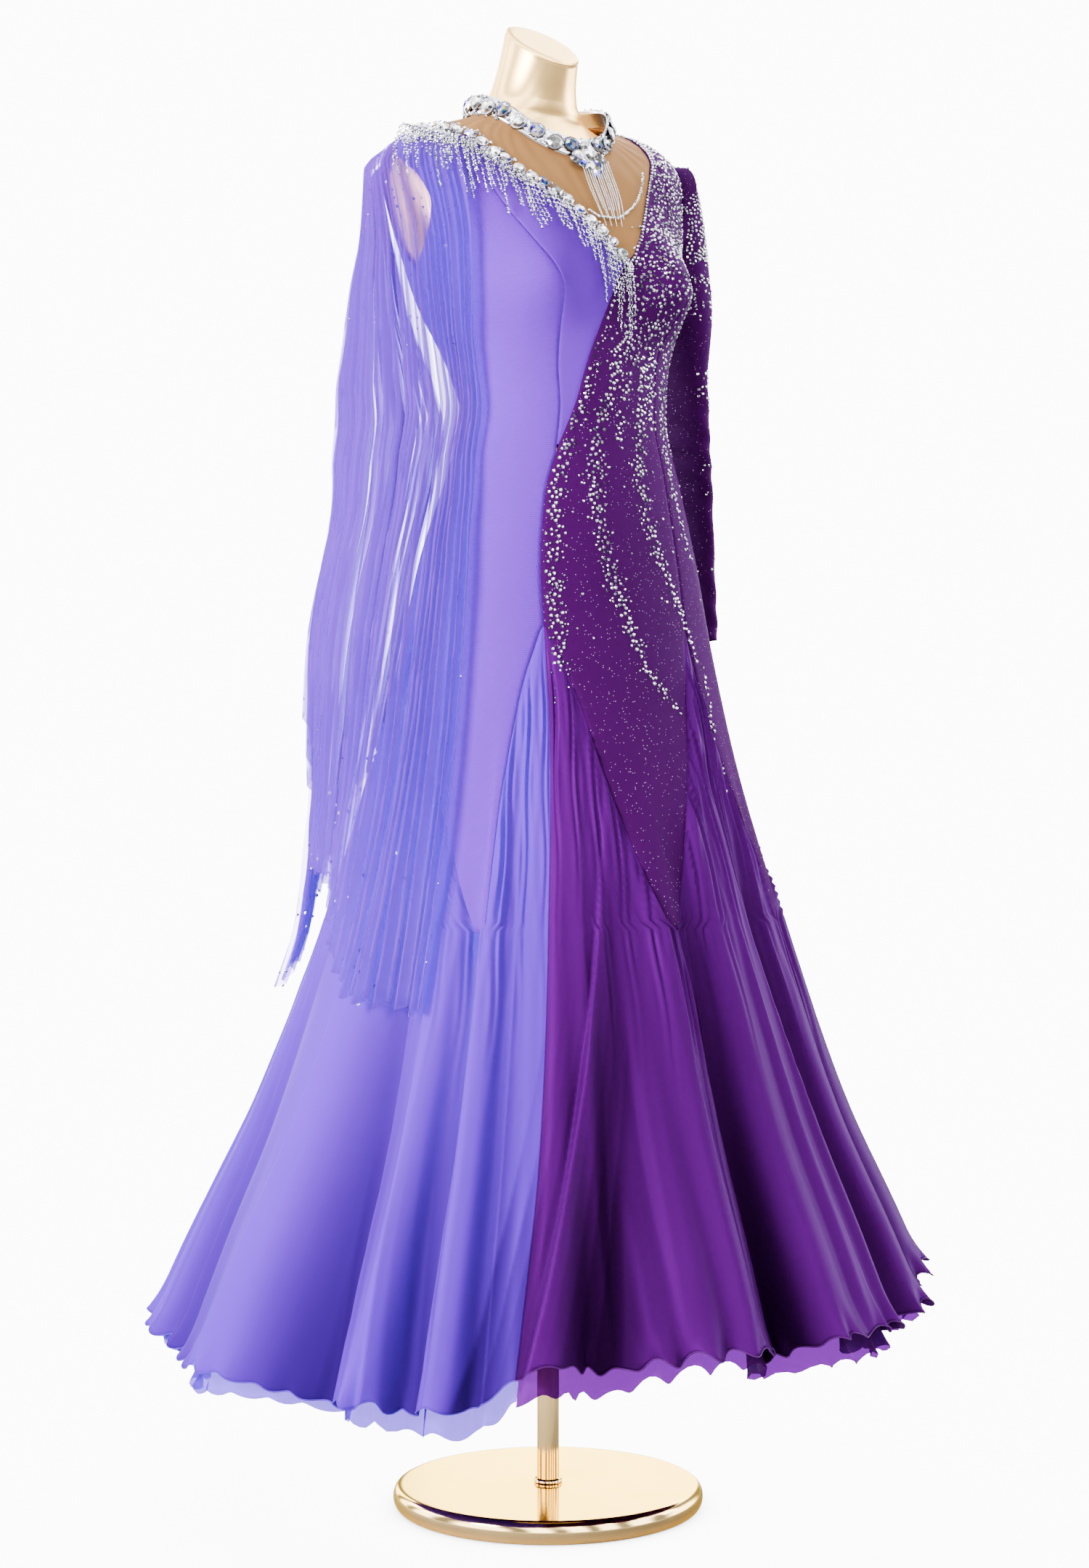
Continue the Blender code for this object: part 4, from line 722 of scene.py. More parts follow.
godetGrids, godetPoints = {}, {}
for name, (left, right, solid, columns) in godets.items():
    turn, height = godetGrid(name)
    godetGrids[name] = (turn, height)
    fromLeft = acrossRows(turn, height)
    width = fromLeft[:, -1:]
    leftShare = 0.0 if left in ("colour", "centre") else 1.0
    rightShare = 0.0 if right in ("colour", "centre") else 1.0
    near = np.minimum(fromLeft, width - fromLeft)
    seamy = smooth((height - level["point"] + 0.20) / 0.24) * smooth((width - 0.01) / 0.03)
    reach = skirt["gatherReach"]
    gather = leftShare * np.exp(-fromLeft / reach) + rightShare * np.exp((fromLeft - width) / reach)
    gather = gather * smooth(near / 0.004)
    pleatPhase = around(turn) / skirt["gatherTurn"] + 0.35 * np.sin(turn * 1.1 + columns) + 0.2 * np.sin(height * 40)
    puff = 0.0022 * smooth(near / 0.014) * smooth((level["apex"] - height) / 0.10)
    dip = 0.0012 * np.exp(-((near / 0.003) ** 2))
    out = level["clothOut"] + skirt["gather"] * seamy * gather * np.sin(2 * np.pi * pleatPhase) + puff - dip
    points = onBody(turn, height, out)
    phase, size = wavePhase(turn)
    low = np.clip((hemline(around(turn)) + hem["reach"] - height) / hem["reach"], 0, 1)
    edging = hem["wave"] * size * low**2.6 * np.sin(2 * np.pi * phase) + hem["curl"] * low**2
    points = points + levelNormal(turn, height) * edging[..., None]
    points[..., 2] += hem["wave"] * 0.7 * size * low**3 * np.cos(2 * np.pi * phase + 0.7)
    godetPoints[name] = points
    # painted shade: the base colour darkens where the cloth lies below the highest fold within nine degrees either
    # side, fading out between 0.68 m and 0.88 m up
    relief = foldRelief(turn, height)
    crest = np.max([foldRelief(turn + step, height) for step in (-9, -6, -4, -2, 0, 2, 4, 6, 9)], axis=0)
    paintedFoldShade = np.exp(-((crest - relief) * smooth((0.88 - height) / 0.20) / 0.028) ** 1.3)
    kind = "lilac" if "lilac" in name else "purple"
    clothPiece(titled("godet", name), points, cloth[kind + "Chiffon"], [solid],
               marks={"shade": paintedFoldShade})
print("godets made")


def hemLine(order, fromRow):  # turn and height along one row of the godets' grids
    turns, heights = [], []
    for name in order:
        turn, height = godetGrids[name]
        last = slice(None) if name == order[-1] else slice(None, -1)
        shift = 0.0
        if turns:
            shift = 360 * round((turns[-1][-1] - turn[fromRow][0]) / 360)
        turns.append(turn[fromRow][last] + shift)
        heights.append(height[fromRow][last])
    return np.concatenate(turns), np.concatenate(heights)


def makeHem(name, order, solid, slot):  # the rolled, wired edge along the waves
    edge = np.concatenate([godetPoints[n][-1][slice(None) if n == order[-1] else slice(None, -1)] for n in order])
    length = pathLength(edge)
    at = np.linspace(0, length[-1], int(length[-1] / 0.003))
    edge = np.stack([np.interp(at, length, edge[:, k]) for k in range(3)], axis=1)
    along = unit(np.gradient(edge, axis=0))
    side = unit(np.cross(along, np.array([0, 0, 1.0])))
    up = np.cross(side, along)
    corners = np.arange(5) * 2 * np.pi / 5
    tube = np.stack([edge + hem["thread"] * (math.cos(a) * up + math.sin(a) * side) for a in corners], axis=1)
    mesh = gridMesh(name, tube, wrap=True)
    mesh.materials.append(thread[slot])
    keepPiece(bpy.data.objects.new(name, mesh), [solid])


lilacOrder = ("lilacBack", "lilacSide", "lilacFront")
purpleOrder = ("purpleFront", "purpleSide", "purpleHip", "purpleBack")
makeHem("hemLilac", lilacOrder, "hem_lilac", "lilac_chiffon")
makeHem("hemPurple", purpleOrder, "hem_purple", "purple_chiffon")

underskirt = {"seat": 0.0010, "inside": 0.014, "drop": 0.024, "wave": 0.0085, "rows": 34, "skip": 2}


def makeUnderskirt(name, order, material, solid, seed):
    rows = [skirt["rowsUpper"] // 2, skirt["rowsUpper"] + 4, skirt["rowsUpper"] + 20, -skirt["rowsHem"], -1]
    turns, heights = zip(*(hemLine(order, row) for row in rows))
    turn, height = np.stack(turns)[:, ::underskirt["skip"]], np.stack(heights)[:, ::underskirt["skip"]]
    share = np.linspace(0, 1, underskirt["rows"])[:, None]
    place = share * (len(rows) - 1)
    i = np.clip(place.astype(int), 0, len(rows) - 2)[:, 0]
    f = place - i[:, None]
    turn = mix(turn[i], turn[i + 1], f)
    height = mix(height[i], height[i + 1], f)
    low = np.clip((share - 0.80) / 0.20, 0, 1)
    phase, size = wavePhase(turn + 1.3)
    height = height - smooth(low) * (underskirt["drop"] * (0.70 + 0.30 * np.sin(turn * 0.13 + seed)))
    depth = mix(underskirt["seat"], underskirt["inside"], np.minimum(share * 1.6, 1))
    wave = underskirt["wave"] * low**2 * size * np.sin(2 * np.pi * phase + seed)
    points = onBody(turn, height, level["clothOut"] - 0.0025 - depth + wave, 0.6)
    points[..., 2] += 0.006 * low**2 * size * np.cos(2 * np.pi * phase + seed)
    clothPiece(name, points, material, [solid], 0.0006)


makeUnderskirt("underskirtLilac", lilacOrder, cloth["lilacFrill"], "underskirt_lilac", 5)
makeUnderskirt("underskirtPurple", purpleOrder, cloth["purpleFrill"], "underskirt_purple", 6)
print("hems and underskirts made")


# yoke: nude net from the choker's line to the neckline
choker = {"radiusX": 0.079, "radiusY": 0.073, "centreY": 0.018, "height": 0.022, "out": 0.004, "up": 0.0132,
          "drop": 1.35, "rows": 6, "stones": 26, "filler": 900}
yoke = {"out": 0.0012, "rows": 26, "wrinkle": 0.0005, "columns": 150}


def chokerHeight(turn, out=0.0):  # where the body reaches the choker's oval
    turn = np.asarray(turn, float)
    low, high = np.full(turn.shape, 1.45), np.full(turn.shape, 1.66)
    for _ in range(36):
        middle = (low + high) / 2
        point = bodyPoint(turn, middle)
        inside = (point[..., 0] / (choker["radiusX"] + out)) ** 2 + (
            (point[..., 1] - choker["centreY"]) / (choker["radiusY"] + out)) ** 2 < 1
        low, high = np.where(inside, low, middle), np.where(inside, middle, high)
    return (low + high) / 2


def chokerTurn(angle):
    angle = np.asarray(angle, float)
    low, high = angle - 60.0, angle + 60.0
    for _ in range(30):
        turn = (low + high) / 2
        point = bodyPoint(turn, chokerHeight(turn, choker["out"]))
        past = around(np.degrees(np.arctan2(point[..., 0], choker["centreY"] - point[..., 1])) - angle) > 0
        low, high = np.where(past, low, turn), np.where(past, turn, high)
    return turn


def makeYoke(name, first, last, solid):
    turn = np.linspace(first, last, yoke["columns"])[None, :]
    share = np.linspace(1, 0, yoke["rows"])[:, None]
    low, high = neckline(around(turn)) - 0.004, chokerHeight(turn)
    height = mix(low, high, share)
    turns = np.broadcast_to(turn, height.shape)
    wrinkle = yoke["wrinkle"] * np.sin(turns * 0.9 + share * 9 + 2 * np.sin(turns * 0.21)) * np.sin(share * 3.0)
    under = np.where(share < 0.08, -0.0006, 0.0)
    points = onBody(turns, height, yoke["out"] + wrinkle + under - 0.0004)
    clothPiece(name, points, cloth["nudeNet"], [solid], 0.0004)


makeYoke("yokeFront", -91.5, 89.5, "yoke_front")
makeYoke("yokeBack", 91.5, 268.0, "yoke_back")
print("yoke made")


# sleeves
purpleSleeve = {"rows": 170, "sides": 72, "ruche": 0.0024, "rib": 0.0052}
sleeveSections = (  # height, x, y, tilt, half width across and half depth
    (1.497, 0.1930, 0.026, 75.0, 0.068, 0.052), (1.436, 0.2030, 0.030, 48.0, 0.046, 0.055),
    (1.370, 0.2150, 0.036, 18.0, 0.030, 0.057), (1.310, 0.2120, 0.034, 6.0, 0.022, 0.055),
    (1.240, 0.2135, 0.028, 0.0, 0.019, 0.052), (1.170, 0.2200, 0.026, 0.0, 0.017, 0.048),
    (1.100, 0.2250, 0.026, 0.0, 0.016, 0.045), (1.015, 0.2310, 0.026, 0.0, 0.016, 0.043),
)


def armholeRing(count, out):  # points along the armhole's edge, from the shoulder round by the back
    back = [(float(backSide(1)(h)), h) for h in np.linspace(1.545, 1.402, 30)]
    front = [(float(frontSide(1)(h)), h) for h in np.linspace(1.402, 1.545, 30)]
    turn, height = (np.array(v) for v in zip(*(back + front)))
    ring = onBody(turn, height, out)
    ring = np.vstack([ring, ring[:1]])
    length = pathLength(ring)
    at = np.linspace(0, length[-1], count + 1)[:-1]
    ring = np.stack([np.interp(at, length, ring[:, k]) for k in range(3)], axis=1)
    return ring + unit(ring.mean(axis=0) - ring) * 0.0008 + np.array([0.0008, 0, 0])


def makePurpleSleeve():
    sides = purpleSleeve["sides"]
    names = ("x", "y", "tilt", "width", "depth")
    shape = {name: smoothCurve([(-row[0], row[k + 1]) for row in sleeveSections]) for k, name in enumerate(names)}
    angle = np.linspace(0, 2 * np.pi, sides + 1)[:-1][None, :]
    low = np.linspace(1.38, 1.0, purpleSleeve["rows"] - 26)
    height = np.concatenate([np.linspace(1.500, 1.38, 26)[:-1], low, [0.9985]])[:, None]
    low = np.maximum(height, 1.015)
    tilt = np.radians(shape["tilt"](-low))
    ribs = purpleSleeve["ruche"] * np.maximum(np.cos(angle), 0) ** 3 * smooth((1.36 - height) / 0.05)
    phase = height * 2 * np.pi / purpleSleeve["rib"] + 1.5 * np.sin(height * 90) + 0.6 * np.sin(3 * angle)
    creaseA = 0.0016 * np.sin(height * 140 + 3 * angle + 2 * np.sin(height * 31)) * smooth((1.36 - height) / 0.1)
    width = shape["width"](-low) + ribs * np.sin(phase) + creaseA * np.cos(angle) ** 2
    deep = shape["depth"](-low) + creaseA * 0.6
    across = width * np.cos(angle)
    x = shape["x"](-low) + across * np.cos(tilt)
    y = shape["y"](-low) + deep * np.sin(angle)
    z = height + across * np.sin(tilt)
    body = np.stack(np.broadcast_arrays(x, y, z), axis=-1)
    start = armholeRing(sides, level["clothOut"])
    gap = np.argmin(np.linalg.norm(start[:, None] - body[0][None, :1], axis=2))
    start = np.roll(start, -gap, axis=0)
    rise = np.linspace(0, 1, 12)[:-1, None, None]
    head = mix(start[None], body[0][None], rise) + np.sin(rise * np.pi) * 0.002 * np.array([0.3, 0, 1.0])
    points = np.concatenate([head, body])
    clothPiece("sleevePurple", points, cloth["purpleCrepe"], ["sleeve_purple"],
               0.0008, wrap=True)
    return points


sleevePoints = makePurpleSleeve()

floatShape = {
    "edge": smoothCurve(((0.58, -62.4), (0.85, -62.9), (1.05, -64.4), (1.13, -68.5), (1.23, -76.5), (1.30, -71.0),
                         (1.38, -58.0), (1.47, -50.0), (1.56, -47.0))),
    "backEdge": smoothCurve(((0.58, -150.0), (1.20, -150.0), (1.40, -140.0), (1.56, -128.0))),
    "offFront": smoothCurve(((0.58, 0.016), (1.00, 0.016), (1.30, 0.014), (1.50, 0.012), (1.58, 0.012))),
    "offSide": smoothCurve(((0.58, 0.022), (0.65, 0.024), (0.78, 0.053), (0.91, 0.083), (1.00, 0.097), (1.10, 0.102),
                            (1.24, 0.132), (1.38, 0.066), (1.47, 0.026), (1.52, 0.014), (1.58, 0.012))),
    "offBack": smoothCurve(((0.58, 0.022), (1.00, 0.030), (1.24, 0.040), (1.50, 0.013), (1.58, 0.012))),
    "hemFront": smoothCurve(((0.0, 0.585), (0.32, 0.60), (0.50, 0.66), (0.66, 0.72), (0.84, 0.74), (1.0, 0.90))),
    "hemBack": smoothCurve(((0.0, 0.59), (0.3, 0.66), (0.6, 0.76), (1.0, 0.88))),
    "side": -121.0, "pleat": 0.0064,
}


def makeFloat(name, part, pleats, fineness, seed, solid):
    columns = pleats * fineness
    u = np.linspace(0, 1, columns + 1)[None, :]
    share = np.linspace(0, 1, 72)[:, None] ** 1.25
    rng = np.random.default_rng(seed)
    steps = rng.uniform(0.55, 1.45, pleats)
    marks = np.concatenate([[0], np.cumsum(steps)]) / steps.sum()
    phase = np.interp(u, marks, np.arange(pleats + 1))
    size = np.interp(phase, np.arange(pleats + 1), rng.uniform(0.5, 1.25, pleats + 1))
    hemHeight = floatShape["hemFront" if part == "front" else "hemBack"](u)
    zigzag = 0.010 * (2 * np.abs((phase / 2.0) % 1 - 0.5) - 0.5) * size
    height = mix(level["sleeveTop"], hemHeight + zigzag, share)
    if part == "front":
        turn = mix(floatShape["edge"](height), floatShape["side"], u)
        stand = mix(floatShape["offFront"](height), floatShape["offSide"](height), smooth(u))
    else:
        turn = mix(floatShape["side"] - 1.2, floatShape["backEdge"](height), u)
        stand = mix(floatShape["offSide"](height), floatShape["offBack"](height), u)
    wander = 0.10 * np.sin(height * 9 + phase * 0.7) * np.minimum(share * 4, 1)
    saw = np.abs(((phase + wander) % 1) - 0.5) * 2  # a knife pleat's face
    fold = floatShape["pleat"] * size * (0.30 + 0.70 * np.minimum(share * 3, 1)) * (2 * saw**1.4 - 1)
    broad = 0.004 * np.sin(phase * 0.9 + height * 4) * np.minimum(share * 2, 1)
    out = level["clothOut"] + 0.0018 + smooth(share / 0.03) * (stand + fold + broad)
    lift = out + foldHeight(turn, height, skirtFolds)
    points = bodyPoint(turn, height) + levelNormal(turn, height) * lift[..., None]
    cut = mix(0.35, 0.75, (np.sin(phase * 2.4) + 1) / 2)
    doubled = smooth(((phase + wander) % 1 - cut) / 0.12) * mix(0.5, 1.0, np.minimum(share * 4, 1))
    doubled = np.maximum(doubled, 0.8 * (1 - smooth(share / 0.14)))  # gathered close at the shoulder
    if part == "front":
        doubled = np.maximum(doubled, 1 - smooth(phase / 0.9 - 0.2))  # and turned back along its open edge
    clothPiece(name, points, cloth["lilacVeil"], [solid], 0.0005,
               marks={"pleat": doubled})
    return points


floatFrontPoints = makeFloat("floatFront", "front", 26, 12, 4, "sleeve_lilac_front")
floatBackPoints = makeFloat("floatBack", "back", 17, 12, 9, "sleeve_lilac_back")
print("sleeves made")


# stones and beads, set on points by geometry nodes
def attribute(tree, name, kind):
    return node(tree, "GeometryNodeInputNamedAttribute", {"Name": name}, data_type=kind).outputs["Attribute"]


def stoneTree(name, material, sides=0, table=0.55, tall=0.55):  # with no sides it is a round bead
    tree = bpy.data.node_groups.new(name, "GeometryNodeTree")
    for way in ("INPUT", "OUTPUT"):
        tree.interface.new_socket("Geometry", in_out=way, socket_type="NodeSocketGeometry")
    source, result = node(tree, "NodeGroupInput"), node(tree, "NodeGroupOutput")
    if sides:
        gem = node(tree, "GeometryNodeMeshCone", {"Vertices": sides, "Radius Top": table, "Radius Bottom": 1.0,
                                                  "Depth": tall}, fill_type="NGON")
    else:
        gem = node(tree, "GeometryNodeMeshIcoSphere", {"Radius": 1.0, "Subdivisions": 1})
    facing = attribute(tree, "facing", "FLOAT_VECTOR")
    facing = node(tree, "FunctionNodeAlignRotationToVector", {"Vector": facing}, axis="Z")
    angle = node(tree, "ShaderNodeCombineXYZ", {"Z": attribute(tree, "spin", "FLOAT")})
    spin = node(tree, "FunctionNodeEulerToRotation", {"Euler": angle.outputs["Vector"]})
    turned = node(tree, "FunctionNodeRotateRotation", {"Rotation": facing.outputs["Rotation"],
                                                       "Rotate By": spin.outputs["Rotation"]}, rotation_space="LOCAL")
    placed = node(tree, "GeometryNodeInstanceOnPoints", {
        "Points": source.outputs["Geometry"], "Instance": gem.outputs["Mesh"], "Rotation": turned.outputs["Rotation"],
        "Scale": attribute(tree, "stoneSize", "FLOAT_VECTOR")})
    real = node(tree, "GeometryNodeRealizeInstances", {"Geometry": placed.outputs["Instances"]})
    looks = node(tree, "GeometryNodeSetMaterial", {"Material": material, "Geometry": real.outputs["Geometry"]})
    feed(tree, result, {"Geometry": looks.outputs["Geometry"]})
    return tree


def setStones(name, points, facing, sizes, tree, replaced=(), seed=1):
    points, facing = np.asarray(points, float).reshape(-1, 3), np.asarray(facing, float).reshape(-1, 3)
    sizes = np.asarray(sizes, float)
    sizes = np.repeat(sizes[:, None], 3, axis=1) if sizes.ndim == 1 else sizes
    rng = np.random.default_rng(seed)
    mesh = bpy.data.meshes.new(name + "Seeds")
    mesh.from_pydata(points.tolist(), [], [])
    for mark, values, kind, field in (
            ("facing", facing, "FLOAT_VECTOR", "vector"), ("stoneSize", sizes, "FLOAT_VECTOR", "vector"),
            ("spin", rng.uniform(0, 6.28, len(points)), "FLOAT", "value"),
            ("stoneGlintOffset", rng.uniform(0, 1, len(points)), "FLOAT", "value")):
        mesh.attributes.new(mark, kind, "POINT").data.foreach_set(field, np.asarray(values, np.float32).ravel())
    seeds = bpy.data.objects.new(name + "Seeds", mesh)
    bpy.context.scene.collection.objects.link(seeds)
    seeds.modifiers.new("stones", "NODES").node_group = tree
    plain = bpy.data.meshes.new_from_object(seeds.evaluated_get(bpy.context.evaluated_depsgraph_get()))
    plain.name = name
    made = bpy.data.objects.new(name, plain)
    bpy.data.objects.remove(seeds)
    plain.shade_flat()
    keepPiece(made, replaced)


studTree = stoneTree("studs", clearStone, 7, 0.52, 0.50)
darkTree = stoneTree("darkStuds", darkStone, 7, 0.52, 0.50)
bigTree = stoneTree("bigStones", bigStone, 8, 0.58, 0.42)
rainbowTree = stoneTree("rainbowStones", rainbowStone, 8, 0.55, 0.44)
beadTree = stoneTree("beads", silverBead)
darkBeadTree = stoneTree("darkBeads", darkBead)
rimTree = stoneTree("settings", darkBead, 10, 0.92, 0.30)


def spaced(points, least, keep=None):  # drops points nearer than this to one kept before
    kept, cells = [], {}
    steps = [(a, b, c) for a in (-1, 0, 1) for b in (-1, 0, 1) for c in (-1, 0, 1)]
    for i, p in enumerate(points):
        key = tuple((p // least).astype(int))
        near = [j for step in steps for j in cells.get(tuple(k + s for k, s in zip(key, step)), ())]
        if all(np.linalg.norm(points[j] - p) >= least * (1.0 if keep is None else keep[i] + keep[j]) for j in near):
            kept.append(i)
            cells.setdefault(key, []).append(i)
    return np.array(kept, int)


streams = {  # each trail of stones: turn and height along it, its half width there, and stones for each metre
    "seam": (((9.0, 1.415, 0.006), (-1.0, 1.365, 0.007), (-10, 1.32, 0.010), (-18.5, 1.27, 0.014), (-25, 1.23, 0.015),
              (-30, 1.19, 0.016), (-32.5, 1.15, 0.017), (-33, 1.11, 0.016), (-32.6, 1.07, 0.014), (-31.5, 1.03, 0.012),
              (-30.5, 0.99, 0.011), (-30.0, 0.95, 0.008), (-30, 0.91, 0.006), (-29.5, 0.885, 0.003)), 1500),
    "first": (((15, 1.43, 0.008), (13.1, 1.392, 0.010), (9.2, 1.329, 0.012), (1.7, 1.287, 0.011), (-9, 1.23, 0.010),
               (-13.1, 1.189, 0.010), (-13.8, 1.137, 0.010), (-11.3, 1.093, 0.009), (-7.9, 1.046, 0.009),
               (-3.2, 0.999, 0.008), (2.8, 0.95, 0.007), (9.2, 0.926, 0.006), (14.9, 0.902, 0.002)), 1250),
    "second": (((24, 1.455, 0.010), (21.7, 1.394, 0.011), (22.5, 1.326, 0.011), (21.5, 1.274, 0.010),
                (16.5, 1.221, 0.009), (11.1, 1.168, 0.009), (12.1, 1.124, 0.009), (14.7, 1.083, 0.008),
                (21.4, 1.043, 0.007), (27.2, 1.003, 0.004), (31, 0.965, 0.002)), 1250),
    "third": (((33, 1.49, 0.010), (34.5, 1.44, 0.011), (36.6, 1.403, 0.011), (41, 1.34, 0.010), (44, 1.27, 0.010),
               (40, 1.21, 0.008), (38, 1.16, 0.007), (40, 1.12, 0.006), (43, 1.08, 0.003)), 800),
    "fourth": (((46, 1.52, 0.012), (49, 1.46, 0.012), (52, 1.40, 0.012), (57, 1.33, 0.010), (60, 1.27, 0.008),
                (60, 1.20, 0.004)), 700),
    "between": (((17, 1.46, 0.008), (18, 1.41, 0.009), (15, 1.34, 0.008), (11, 1.29, 0.007), (4, 1.24, 0.006),
                 (0, 1.20, 0.005)), 520),
    "outer": (((28, 1.48, 0.008), (29, 1.41, 0.009), (30, 1.34, 0.008), (29, 1.28, 0.006), (26, 1.22, 0.004)), 460),
    "godet": (((36, 0.96, 0.002), (35, 0.93, 0.004), (34, 0.90, 0.005), (33, 0.87, 0.006), (34, 0.84, 0.003),
               (35, 0.81, 0.002)), 420),
}


def streamStones(seed):
    rng = np.random.default_rng(seed)
    turns, heights, sizes = [], [], []
    for route, perMetre in streams.values():
        turn, height, half = (np.array(v, float) for v in zip(*route))
        length = pathLength(bodyPoint(turn, height))
        count = int(length[-1] * perMetre)
        at = rng.uniform(0, length[-1], count)
        t, h, w = np.interp(at, length, turn), np.interp(at, length, height), np.interp(at, length, half)
        aside = rng.normal(0, 0.60, count) * w
        radius = np.hypot(*bodyPoint(t, h)[:, :2].T)
        turns.append(t + np.degrees(aside / np.maximum(radius, 0.09)))
        heights.append(h + rng.uniform(-0.002, 0.002, count))
        near = 1 - np.clip(np.abs(aside) / (w + 1e-6), 0, 1.4)
        large, small = rng.choice([0.0021, 0.0023, 0.0019], count), rng.choice([0.0014, 0.0017, 0.0012], count)
        sizes.append(np.where(near > 0.3, large, small))
    single = 480  # stones between the trails
    t, h = rng.uniform(-36, 60, single), rng.uniform(0.98, 1.46, single)
    some = (rng.uniform(0, 1, single) < 0.15 + 0.85 * smooth((h - 1.08) / 0.25)) & (h < neckline(t) - 0.008)
    turns.append(t[some])
    heights.append(h[some])
    sizes.append(rng.choice([0.0017, 0.0013], some.sum()))
    fill = 620  # the dense shoulder, from the neckline to the armhole
    t, h = rng.uniform(14, 88, fill * 4), rng.uniform(1.40, 1.583, fill * 4)
    top = neckline(around(t)) - 0.004
    chance = smooth((h - 1.40) / 0.11)
    keep = (h < top) & (t < sideSeam(h) - armhole(h) - 1.5) & (rng.uniform(0, 1, fill * 4) < chance)
    turns.append(t[keep])
    heights.append(h[keep])
    sizes.append(rng.choice([0.0022, 0.0019, 0.0016], keep.sum()))
    t = np.concatenate([np.linspace(10, 88, 90), np.linspace(12, 86, 80)])  # an even line along the neck edge
    turns.insert(0, t)
    heights.insert(0, neckline(t) - np.where(np.arange(170) < 90, 0.0035, 0.0080))
    sizes.insert(0, np.full(170, 0.0020))
    turn, height, size = np.concatenate(turns), np.concatenate(heights), np.concatenate(sizes)
    points = onBody(turn, height, level["clothOut"] + 0.0004)
    clear = turn > colourSeam(height) + 1.6
    points, turn, height, size = points[clear], turn[clear], height[clear], size[clear]
    kept = spaced(points, 0.0043, size / 0.0042)
    return points[kept], bodyNormal(turn, height)[kept], size[kept]


points, facing, size = streamStones(21)
print("stream stones:", len(points))
dark = np.random.default_rng(33).uniform(0, 1, len(points)) < 0.24
setStones("bodiceStones", points[~dark], facing[~dark], size[~dark], studTree, seed=2)
setStones("bodiceDarkStones", points[dark], facing[dark], size[dark], darkTree, seed=32)


def sleeveStones(seed):  # stones over the sleeve head and down its outer face, fewer lower down
    rng = np.random.default_rng(seed)
    rows, sides = sleevePoints.shape[:2]
    down = np.cross(np.roll(sleevePoints, -1, 1) - np.roll(sleevePoints, 1, 1), np.gradient(sleevePoints, axis=0))
    normals = -down / np.maximum(np.linalg.norm(down, axis=2, keepdims=True), 1e-9)
    i = np.concatenate([rng.integers(1, 40, 5200), rng.integers(40, rows - 2, 5200)])
    j = rng.integers(0, sides, len(i))
    point, out = sleevePoints[i, j], normals[i, j]
    outwards = point - np.array([0.16, 0.03, 0]) - np.array([0, 0, 1]) * point[:, 2:3]
    out = np.where((out * outwards).sum(axis=1, keepdims=True) < 0, -out, out)
    chance = np.where(point[:, 2] > 1.42, 0.85, 0.16 * smooth((point[:, 2] - 1.02) / 0.30) + 0.01)
    ring = (np.sin(point[:, 2] * 60 + point[:, 1] * 40) > 0.1) | (point[:, 2] > 1.44)
    front = (point[:, 1] < 0.045) & (rng.uniform(0, 1, len(point)) < chance) & ring & (point[:, 0] > 0.185)
    point, out = point[front], out[front]
    size = rng.choice([0.0021, 0.0018, 0.0014], len(point))
    kept = spaced(point, 0.0046, size / 0.0046)
    return point[kept] + out[kept] * 0.0004, out[kept], size[kept]


points, facing, size = sleeveStones(5)
print("sleeve stones:", len(points))
setStones("sleeveStones", points, facing, size, studTree, seed=3)


def gridNormal(grid):
    normal = np.cross(np.gradient(grid, axis=0), np.gradient(grid, axis=1))
    return normal / np.maximum(np.linalg.norm(normal, axis=2, keepdims=True), 1e-9)


def floatStones(seed):  # scattered over the float's hem corners and its shoulder
    rng = np.random.default_rng(seed)
    found, away, sizes = [], [], []
    for grid, count in ((floatFrontPoints, 210), (floatBackPoints, 120)):
        rows, columns = grid.shape[:2]
        normal = gridNormal(grid)
        i = rows - 1 - np.minimum((rng.exponential(6.0, count)).astype(int), rows - 40)
        j = rng.integers(1, columns - 1, count)
        found.append(grid[i, j] + normal[i, j] * 0.0006)
        away.append(normal[i, j])
        sizes.append(rng.choice([0.0022, 0.0018, 0.0014], count))
    grid = floatFrontPoints
    normal = gridNormal(grid)
    i, j = rng.integers(2, 26, 70), rng.integers(20, grid.shape[1] - 2, 70)
    found.append(grid[i, j] + normal[i, j] * 0.0006)
    away.append(normal[i, j])
    sizes.append(rng.choice([0.0018, 0.0014], 70))
    point, out, size = np.concatenate(found), np.concatenate(away), np.concatenate(sizes)
    kept = spaced(point, 0.006)
    return point[kept], out[kept], size[kept]


points, facing, size = floatStones(6)
setStones("floatStones", points, facing, size, studTree, seed=4)


# neckline band: big stones in settings with small ones packed round them
band = {"from": -88, "to": 8.5, "stones": 18, "filler": 520}


def alongNeckline(turn, down, out):
    height = neckline(around(turn)) - down
    return onBody(turn, height, out), bodyNormal(turn, height)


